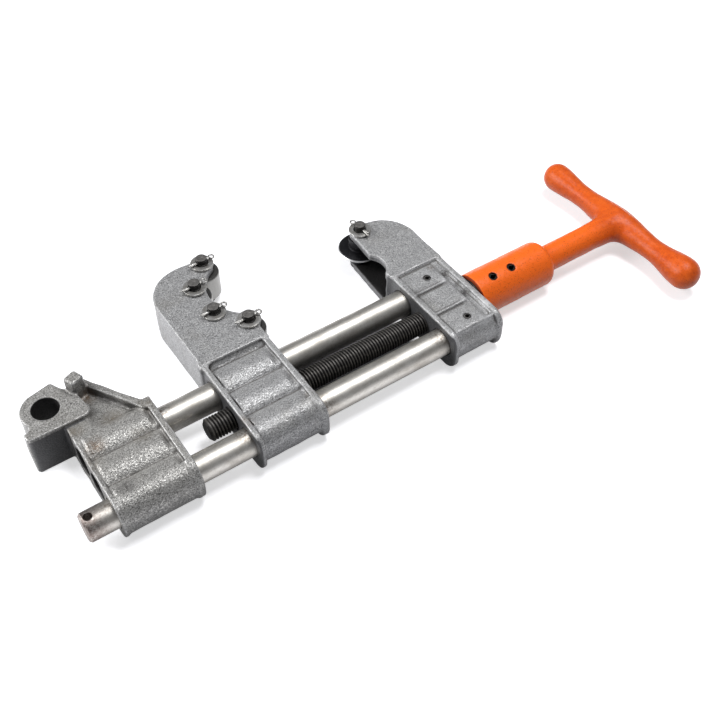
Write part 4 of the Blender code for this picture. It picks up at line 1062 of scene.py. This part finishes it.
def bracket_distance(x, y, z):
    """Sleeve and flanges, neck, web, rib, lug and plate, less the bores."""
    metal = both(sleeve(x, y, z, -60.0, -6.2, (5.0, 4.5), 40.0), between(x, -61.4, -1.0), 1.0)
    metal = both(metal, y - 40.0, 2.6)
    left = both(flange(x, y, z, -62.0, -58.8, 42.5, 16.5, 37.0, 1.0), z - 35.4, 1.0)
    right = both(flange(x, y, z, -5.2, 0.0, 42.5, 16.5, 40.5, 1.1), z - 37.2, 1.1)
    metal = joined(metal, left, 1.6)
    metal = joined(metal, right, 2.2)
    slanting = 34.6 - 5.4 * ramp(x, -47.5, -35.0) - 0.4 * ramp(y, 44.0, 50.0)
    neck = both(outline_distance(neck_outline, x, y), np.maximum(-z, z - slanting), 1.2)
    web = both(outline_distance(web_outline, x, y), between(z, 3.0, 29.8), 1.0)
    rib = both(rib_distance(x, y), between(z, 0.0, 37.4), 1.3)
    u = (x - LUG[0]) * math.cos(LUG_TURN) + (y - LUG[1]) * math.sin(LUG_TURN)
    v = (y - LUG[1]) * math.cos(LUG_TURN) - (x - LUG[0]) * math.sin(LUG_TURN)
    square = both(np.abs(u) - 5.75, np.abs(v) - 5.25, 2.2)
    lug = both(square, between(z, 3.0, 49.0 - (u ** 2 + v ** 2) * 0.012), 1.7)
    plate = both(drafted(outline_distance(hinge_outline, x, y), z), between(z, 0.0, CHEEK_TOP), 0.9)
    metal = joined(metal, web, 3.0)
    metal = both(joined(metal, neck, 2.4), -62.0 - x, 0.8)
    metal = joined(metal, rib, 2.0)
    metal = joined(metal, lug, 2.0)
    metal = joined(metal, plate, 1.8)
    metal = both(metal, -z, 0.8) + cast_waves(x, y, z, 3, 15.0, 0.12)
    return cut(metal, bracket_bores(x, y, z), 0.8)


make_casting("hinge_bracket_cast", bracket_distance, bracket_bores, (-91.2, -45.2, -2.2), (2.2, 93.5, 51.2), 0.85,
             "bracket casting", "bracket", ["hinge_bracket"])

# %% [markdown]
# ## Roller carriage
#
# The carriage slides along the rods and holds the rollers between two cheeks.  The cheeks turn about the
# outer rollers and leave an arc about the pipe's axis, and the rollers' room between them ends on a wider arc.
# The outline is made of those arcs, so it follows when the rollers' circle changes, as a traced one would not.

# %% The carriage's outlines
CAR_LEFT, CAR_RIGHT = 44.8, 102.3
BACK_Y, BACK_ROUND, TIP, THROAT, OPENING = 115.0, 33.3, 8.3, 36.5, ANGLES["a"]
(ax, ay), (dx, dy) = ROLLERS["a"], ROLLERS["d"]
lean = math.degrees(math.asin(min(1.0, (BACK_Y + BACK_ROUND - ay) / TIP)))
tip_end = -math.degrees(math.acos(min(1.0, (CAR_RIGHT - dx) / TIP)))
cheek_outline = softened(
    [(CAR_LEFT, 30.0, 0.0)] + arc(CAR_LEFT + BACK_ROUND, BACK_Y, BACK_ROUND, 180.0, 90.0, 24)
    + arc(ax, ay, TIP, lean, OPENING - 180.0, 14) + arc(*PIPE, THROAT, OPENING, 360.0 - OPENING, 28)[1:]
    + arc(dx, dy, TIP, 180.0 - OPENING, tip_end, 8)[1:] + [(CAR_RIGHT, 30.0, 0.0)])
cavity_reach = 60.4
cavity_turn = math.degrees(math.asin((PIPE[1] - 45.0) / cavity_reach))
pocket_outline = softened(arc(*PIPE, cavity_reach, 90.0, 180.0 + cavity_turn, 36)
                          + [(PIPE[0], 45.0, 0.0), (PIPE[0], PIPE[1] + cavity_reach, 0.0)])
print("cheek", len(cheek_outline), "and room", len(pocket_outline), "corners")


# %% Roller carriage
def carriage_bores(x, y, z):
    """The two rod bores, the nut's bore, the pins' holes and the seats of their heads."""
    along = np.minimum(rod_bores(y, z), np.hypot(y, z - AXIS) - 9.3)
    return np.minimum(np.maximum(along, between(x, 42.0, 105.0)), pin_seats(x, y, z, ROLLERS.values()))


def carriage_distance(x, y, z):
    """Sleeve, flanges and cheeks, less the rollers' room, the spot faces and the bores."""
    metal = both(sleeve(x, y, z, 48.6, 97.3, (2.4, 6.0), 46.0), between(x, 45.8, 101.3), 1.0)
    left = flange(x, y, z, CAR_LEFT, 48.6, 44.0, 13.0, 46.0, 1.1)
    right = flange(x, y, z, 97.3, CAR_RIGHT, 44.0, 13.0, 46.0, 1.1)
    left, right = both(left, z - 37.4, 1.0), both(right, z - 37.4, 1.0)
    cheeks = np.maximum(outline_distance(cheek_outline, x, y), 43.0 - y)
    cheeks = both(drafted(cheeks, z), between(z, 0.0, CHEEK_TOP), 0.9)
    metal = joined(metal, left, 1.6)
    metal = joined(metal, right, 2.6)
    metal = joined(metal, cheeks, 2.6)
    corner = both(joined(left, cheeks, 6.0), between(z, 30.0, 37.6), 0.8)
    metal = both(joined(metal, corner, 0.8), between(z, 0.0, CHEEK_TOP), 0.8)
    metal = metal + cast_waves(x, y, z, 5, 16.0, 0.11)
    metal = cut(metal, room(pocket_outline, x, y, z), 0.8)
    metal = cut(metal, spot_faces(x, y, z, ROLLERS.values()), 0.3)
    return cut(metal, carriage_bores(x, y, z), 0.7)


def carriage_hollows(x, y, z):
    """Where shade is painted: the bores and the rollers' room."""
    return np.minimum(carriage_bores(x, y, z), room(pocket_outline, x, y, z))


make_casting("roller_carriage_cast", carriage_distance, carriage_hollows, (42.6, -46.2, -2.2), (109.0, 150.6, 40.2),
             0.95, "carriage casting", "carriage", ["roller_carriage"])

# %% [markdown]
# ## Wheel frame
#
# The wheel frame is pinned to the rods' ends.  Its face is sunk between two flanges, with three low pads
# where the rods and the screw pass, thin ridges between them, a shallow trench beside the far flange, and a
# softly bevelled step up to the jaw.  Such small steps could be bump only, but they show in the outline of the
# highlights from every side, so they are shape.

# %% The frame's outlines
FR_LEFT, FR_RIGHT, WHEEL_REACH = 219.3, 267.9, 22.5
jaw_outline = softened(
    [(FR_LEFT + 2.0, 37.0, 0.0), (FR_LEFT - 1.5, 45.5, 3.0)] + arc(*WHEEL, TIP, 187.0, 90.0, 14)
    + arc(FR_RIGHT - 31.0, 78.0, 31.0, 84.0, 0.0, 22) + [(FR_RIGHT, 37.0, 0.0)])
wheel_room = softened(
    [(FR_LEFT - 12.5, 47.0, 0.0), (FR_RIGHT - 12.5, 47.0, 3.0)] + arc(*WHEEL, WHEEL_REACH, 0.0, 90.0, 18)
    + [(FR_LEFT - 12.5, WHEEL[1] + WHEEL_REACH, 0.0)])
print("jaw", len(jaw_outline), "and room", len(wheel_room), "corners")


# %% Wheel frame
def frame_bores(x, y, z):
    """Rod seats, the shank's bore, the spring pins' holes and the wheel pin's hole and seat."""
    seats = np.maximum(rod_bores(y, z), between(x, FR_LEFT - 2.0, 260.3))
    shank = np.maximum(np.hypot(y, z - AXIS) - SHANK_BORE, between(x, FR_LEFT - 2.0, FR_RIGHT + 2.0))
    pins = np.maximum(np.hypot(x - FRAME_MIDDLE, np.abs(y) - SPACING) - 2.9, between(z, 2.0, 40.0))
    return np.minimum.reduce(np.broadcast_arrays(seats, shank, pins, pin_seats(x, y, z, [WHEEL])))


def frame_distance(x, y, z):
    """Sunk face, flanges, pads with ridges, trench and jaw, less the scallop, the wheel's room and the bores."""
    rise = np.abs(z - MIDDLE)
    front = np.hypot(np.maximum(-y - 29.5, 0.0), np.maximum(rise - 1.4, 0.0)) - 13.0
    metal = np.maximum(np.maximum(front, y - 45.0), between(x, FR_LEFT + 1.0, FR_RIGHT - 1.0))
    shelf = both(both(between(x, FR_LEFT + 3.0, 262.5), between(y, -36.6, 40.0), 2.0), between(z, 25.0, 34.9), 1.6)
    metal = joined(metal, shelf, 2.4)
    for centre, start, top, rounding in (
            (-SPACING, -36.6, 35.5, 2.2), (0.0, -12.0, 36.0, 1.2), (SPACING, 14.0, 36.0, 1.2)):
        block = both(between(y, start, centre + 11.4), between(x, FR_LEFT + 4.0, 255.6), 2.4)
        metal = joined(metal, both(block, between(z, 25.0, top), rounding), 1.4)
        if centre > -SPACING:
            ridge = both(np.abs(y - centre + 11.2) - 1.0, between(x, FR_LEFT + 5.0, 254.0), 0.9)
            metal = joined(metal, both(ridge, z - 36.8, 0.9), 0.9)
    trench_floor = 33.0 + 2.2 * ramp(y, 16.0, 30.0)
    trench = both(both(between(x, 256.4, 262.0), between(y, -33.0, 33.0), 2.4), trench_floor - z, 1.2)
    metal = cut(metal, trench, 1.0)
    left = both(flange(x, y, z, FR_LEFT, FR_LEFT + 4.6, 44.0, 13.0, 45.0, 1.3), z - 37.2, 1.2)
    right = both(flange(x, y, z, FR_RIGHT - 5.0, FR_RIGHT, 43.6, 13.0, 45.0, 2.0), z - 37.6, 1.8)
    metal = joined(joined(metal, left, 1.6), right, 1.5)
    step = CHEEK_TOP - 3.0 * ramp(-y, -41.2, -37.4)
    jaw = both(drafted(outline_distance(jaw_outline, x, y), z), np.maximum(-z, z - step), 1.0)
    metal = joined(metal, jaw, 1.4)
    metal = both(metal, between(z, 0.0, CHEEK_TOP), 0.8) + cast_waves(x, y, z, 8, 13.0, 0.13)
    scallop = np.maximum(np.hypot(x - (FR_LEFT + 5.3 - 15.7), y - 61.6) - 15.7, MIDDLE - z)
    metal = cut(metal, scallop, 0.9)
    metal = cut(metal, room(wheel_room, x, y, z), 0.8)
    metal = cut(metal, spot_faces(x, y, z, [WHEEL]), 0.3)
    return cut(metal, frame_bores(x, y, z), 0.6)


def frame_hollows(x, y, z):
    """Where shade is painted: the bores and the wheel's room."""
    return np.minimum(frame_bores(x, y, z), room(wheel_room, x, y, z))


make_casting("wheel_frame_cast", frame_distance, frame_hollows, (215.8, -46.2, -2.2), (270.2, 113.0, 40.2), 0.85,
             "frame casting", "frame", ["wheel_frame"])

# %% [markdown]
# ## T-handle
#
# The handle is one casting: a collar pinned over the screw's shank, a stem that swells towards the bar, and a
# bar with a thick middle, two waists and two round knobs.  The bar and the stem blend in a wide fillet, and
# the enamel lies over an uneven surface.  Metaballs would flow together like this as well, but a distance can be
# given exact radii, and the pins' holes can be cut from it.

# %% The handle's measures
BAR_X, BAR_HALF, KNOB, REAR_KNOB, WAIST, HUB, WAIST_AT = 437.5, 78.4, 13.7, 12.5, 9.7, 13.2, 0.56
COLLAR_RIGHT, COLLAR, STEM = COLLAR_LEFT + 77.0, 19.6, 11.5
print("handle from", COLLAR_LEFT, "to", BAR_X + HUB)


# %% T-handle
def bar_radius(share, knob):
    """Radius along half the bar: hub, waist and knob joined by two cosine waves."""
    inner = share < WAIST_AT
    blend = np.where(inner, share / WAIST_AT, (1.0 - share) / (1.0 - WAIST_AT))
    return WAIST + (np.where(inner, HUB, knob) - WAIST) * (0.5 + 0.5 * np.cos(math.pi * blend))


def soft_union(a, b, reach):
    """Inside either shape, the two flowing into each other over a reach."""
    share = np.clip(0.5 + 0.5 * (b - a) / reach, 0.0, 1.0)
    return b + (a - b) * share - reach * share * (1.0 - share)


def handle_bores(x, y, z):
    """The shank's bore and the two tilted pin holes."""
    shank = np.maximum(np.hypot(y, z - AXIS) - SHANK_BORE, between(x, COLLAR_LEFT - 2.0, COLLAR_LEFT + 58.0))
    tilted = y * math.cos(TILT) + (z - AXIS) * math.sin(TILT)
    holes = np.minimum.reduce([np.hypot(x - station, tilted) - 3.4 for station in HANDLE_PINS])
    return np.minimum(shank, holes)


def handle_distance(x, y, z):
    """Collar, stem and bar flowing together, less the shank's bore and the two tilted pin holes."""
    around = np.hypot(y, z - AXIS)
    collar = both(around - COLLAR, between(x, COLLAR_LEFT - 8.0, COLLAR_RIGHT), 6.0)
    collar = both(collar, COLLAR_LEFT - x, 0.9)
    stem_radius = STEM + 1.1 * np.clip((x - BAR_X + 36.0) / 22.0, 0.0, 1.0)
    stem = np.maximum(around - stem_radius, between(x, COLLAR_RIGHT - 20.0, BAR_X))
    reach = np.clip(np.abs(y), 0.0, BAR_HALF)
    knob = np.where(y > 0.0, REAR_KNOB, KNOB)
    bar_shape = np.sqrt((x - BAR_X) ** 2 + (z - AXIS) ** 2 + (np.abs(y) - reach) ** 2)
    metal = joined(collar, stem, 3.2)
    metal = soft_union(metal, bar_shape - bar_radius(reach / BAR_HALF, knob), 7.0)
    metal = metal + cast_waves(x, y, z, 11, 11.0, 0.06) + cast_waves(x, y, z, 12, 4.2, 0.03)
    return cut(metal, handle_bores(x, y, z), 0.5)


make_casting("t_handle_cast", handle_distance, handle_bores, (268.4, -94.4, -1.6), (453.4, 94.4, 41.8), 0.95,
             "orange enamel", "drive", ["t_handle"])

# %% [markdown]
# ## Floor, light and camera
#
# The tool lies on a plain white floor.  A compact softbox overhead draws the long highlights on the rods and
# on the castings' crests, another one to the left and behind lights the walls that face it, and the walls
# towards the viewer stay dark, helped by painted shade on some castings' walls.  Away from the tool the floor
# has a faint glow of its own, so it stays white and only the close shadows show.  Between the rods the glow is
# left out and the floor's colour is darkened as painted shadow, and the floor beside the tool is painted
# darker for mirror rays alone, as painted shade in what the metal mirrors.

# %% Floor
def white_floor():
    """Pale floor that takes the shadows, plus a glow that camera and mirror rays alone see; painted shadow darkens it
    between the rods, and painted shade dims it beside the tool for mirror rays.
    """
    mesh = bpy.data.meshes.new("floor")
    corners = np.array([[-40, -40, 0], [40, -40, 0], [40, 40, 0], [-40, 40, 0]], float)
    mesh.from_pydata(corners.tolist(), [], [(0, 1, 2, 3)])
    floor = bpy.data.objects.new("floor", mesh)
    bpy.context.scene.collection.objects.link(floor)
    paint = bpy.data.materials.new("white floor")
    paint.use_nodes = True
    tree = paint.node_tree
    shader, output = tree.nodes["Principled BSDF"], tree.nodes["Material Output"]
    shader.inputs["Roughness"].default_value = 1.0
    shader.inputs["Specular IOR Level"].default_value = 0.0
    path = tree.nodes.new("ShaderNodeLightPath")
    seen, mirrored, through = (Wire(tree, path.outputs["Is %s Ray" % kind])
                               for kind in ("Camera", "Glossy", "Transmission"))
    seen = seen.maths("MAXIMUM", seen.maths("MAXIMUM", seen, mirrored), through)
    place = Wire(tree, tree.nodes.new("ShaderNodeTexCoord").outputs["Object"])
    x, y, _ = apart(place)
    # Painted shadow: between the rods the floor is coloured darker and loses its glow.
    painted_shadow = 1.0 - abs(y - at(12.0, 1)).span(0.026, 0.036)
    painted_shadow = painted_shadow * (1.0 - abs(x - at(131.0)).span(0.078, 0.088))
    # Painted shade: mirror rays see the floor beside the tool darker.
    beside = 1.0 - abs(y - at(0.0, 1)).span(0.036, 0.070)
    beside = beside * (1.0 - abs(x - at(92.0)).span(0.165, 0.195))
    painted_mirror_shade = beside * mirrored
    pale = (painted_shadow * 0.6).mix((0.80, 0.80, 0.83), (0.0, 0.0, 0.0))
    colour = seen.mix((0.30, 0.305, 0.32), (painted_mirror_shade * 0.65).mix(pale, (0.0, 0.0, 0.0)))
    tree.links.new(colour.socket, shader.inputs["Base Color"])
    glow = seen.node("ShaderNodeEmission", None, {
        "Color": (1.0, 1.0, 1.0), "Strength": seen * (1.0 - painted_shadow) * (1.0 - painted_mirror_shade * 0.8) * 0.56})
    total = tree.nodes.new("ShaderNodeAddShader")
    tree.links.new(shader.outputs[0], total.inputs[0])
    tree.links.new(glow.socket, total.inputs[1])
    tree.links.new(total.outputs[0], output.inputs["Surface"])
    mesh.materials.append(paint)
    print("floor with", len(tree.nodes), "nodes in its material")


white_floor()


# %% Lamps and world
def softbox(name, place, size, power):
    """Square white area lamp that looks at the middle of the tool."""
    lamp = bpy.data.lights.new(name, "AREA")
    lamp.shape, lamp.size, lamp.energy = "SQUARE", size, power
    item = bpy.data.objects.new(name, lamp)
    item.location = place
    item.rotation_euler = (-Vector(place)).to_track_quat("-Z", "Y").to_euler()
    bpy.context.scene.collection.objects.link(item)
    print(name, "power", power)


softbox("overhead softbox", (0.34, -0.02, 1.5), 0.56, 16.5)
softbox("left back softbox", (-1.20, 0.75, 0.85), 0.8, 22.0)
world = bpy.data.worlds.new("studio")
world.use_nodes = True
sky = world.node_tree.nodes["Background"].inputs
sky["Color"].default_value, sky["Strength"].default_value = (0.93, 0.95, 1.0, 1.0), 0.21
bpy.context.scene.world = world
bpy.context.scene.view_settings.view_transform = "Standard"


# %% Camera
def photo_camera():
    """Camera from its azimuth, elevation, roll and place: back, right and up are worked out from the angles."""
    turn, rise, roll = math.radians(-34.71523), math.radians(48.12583), math.radians(0.3957)
    back = Vector((math.sin(turn) * math.cos(rise), -math.cos(turn) * math.cos(rise), math.sin(rise)))
    right = Vector((math.cos(turn), math.sin(turn), 0.0))
    up = back.cross(right)
    across = right * math.cos(roll) + up * math.sin(roll)
    upright = up * math.cos(roll) - right * math.sin(roll)
    lens = bpy.data.cameras.new("photo camera")
    lens.lens, lens.sensor_width = 49.20591, 36.0
    lens.clip_start, lens.clip_end = 0.01, 30.0
    camera = bpy.data.objects.new("photo camera", lens)
    turned_to = Matrix((across, upright, back)).transposed().to_4x4()
    camera.matrix_world = Matrix.Translation((-0.313038, -0.443896, 0.582569)) @ turned_to
    bpy.context.scene.collection.objects.link(camera)
    bpy.context.scene.camera = camera
    print("camera at", tuple(round(v, 3) for v in camera.matrix_world.translation))


photo_camera()

# %% [markdown]
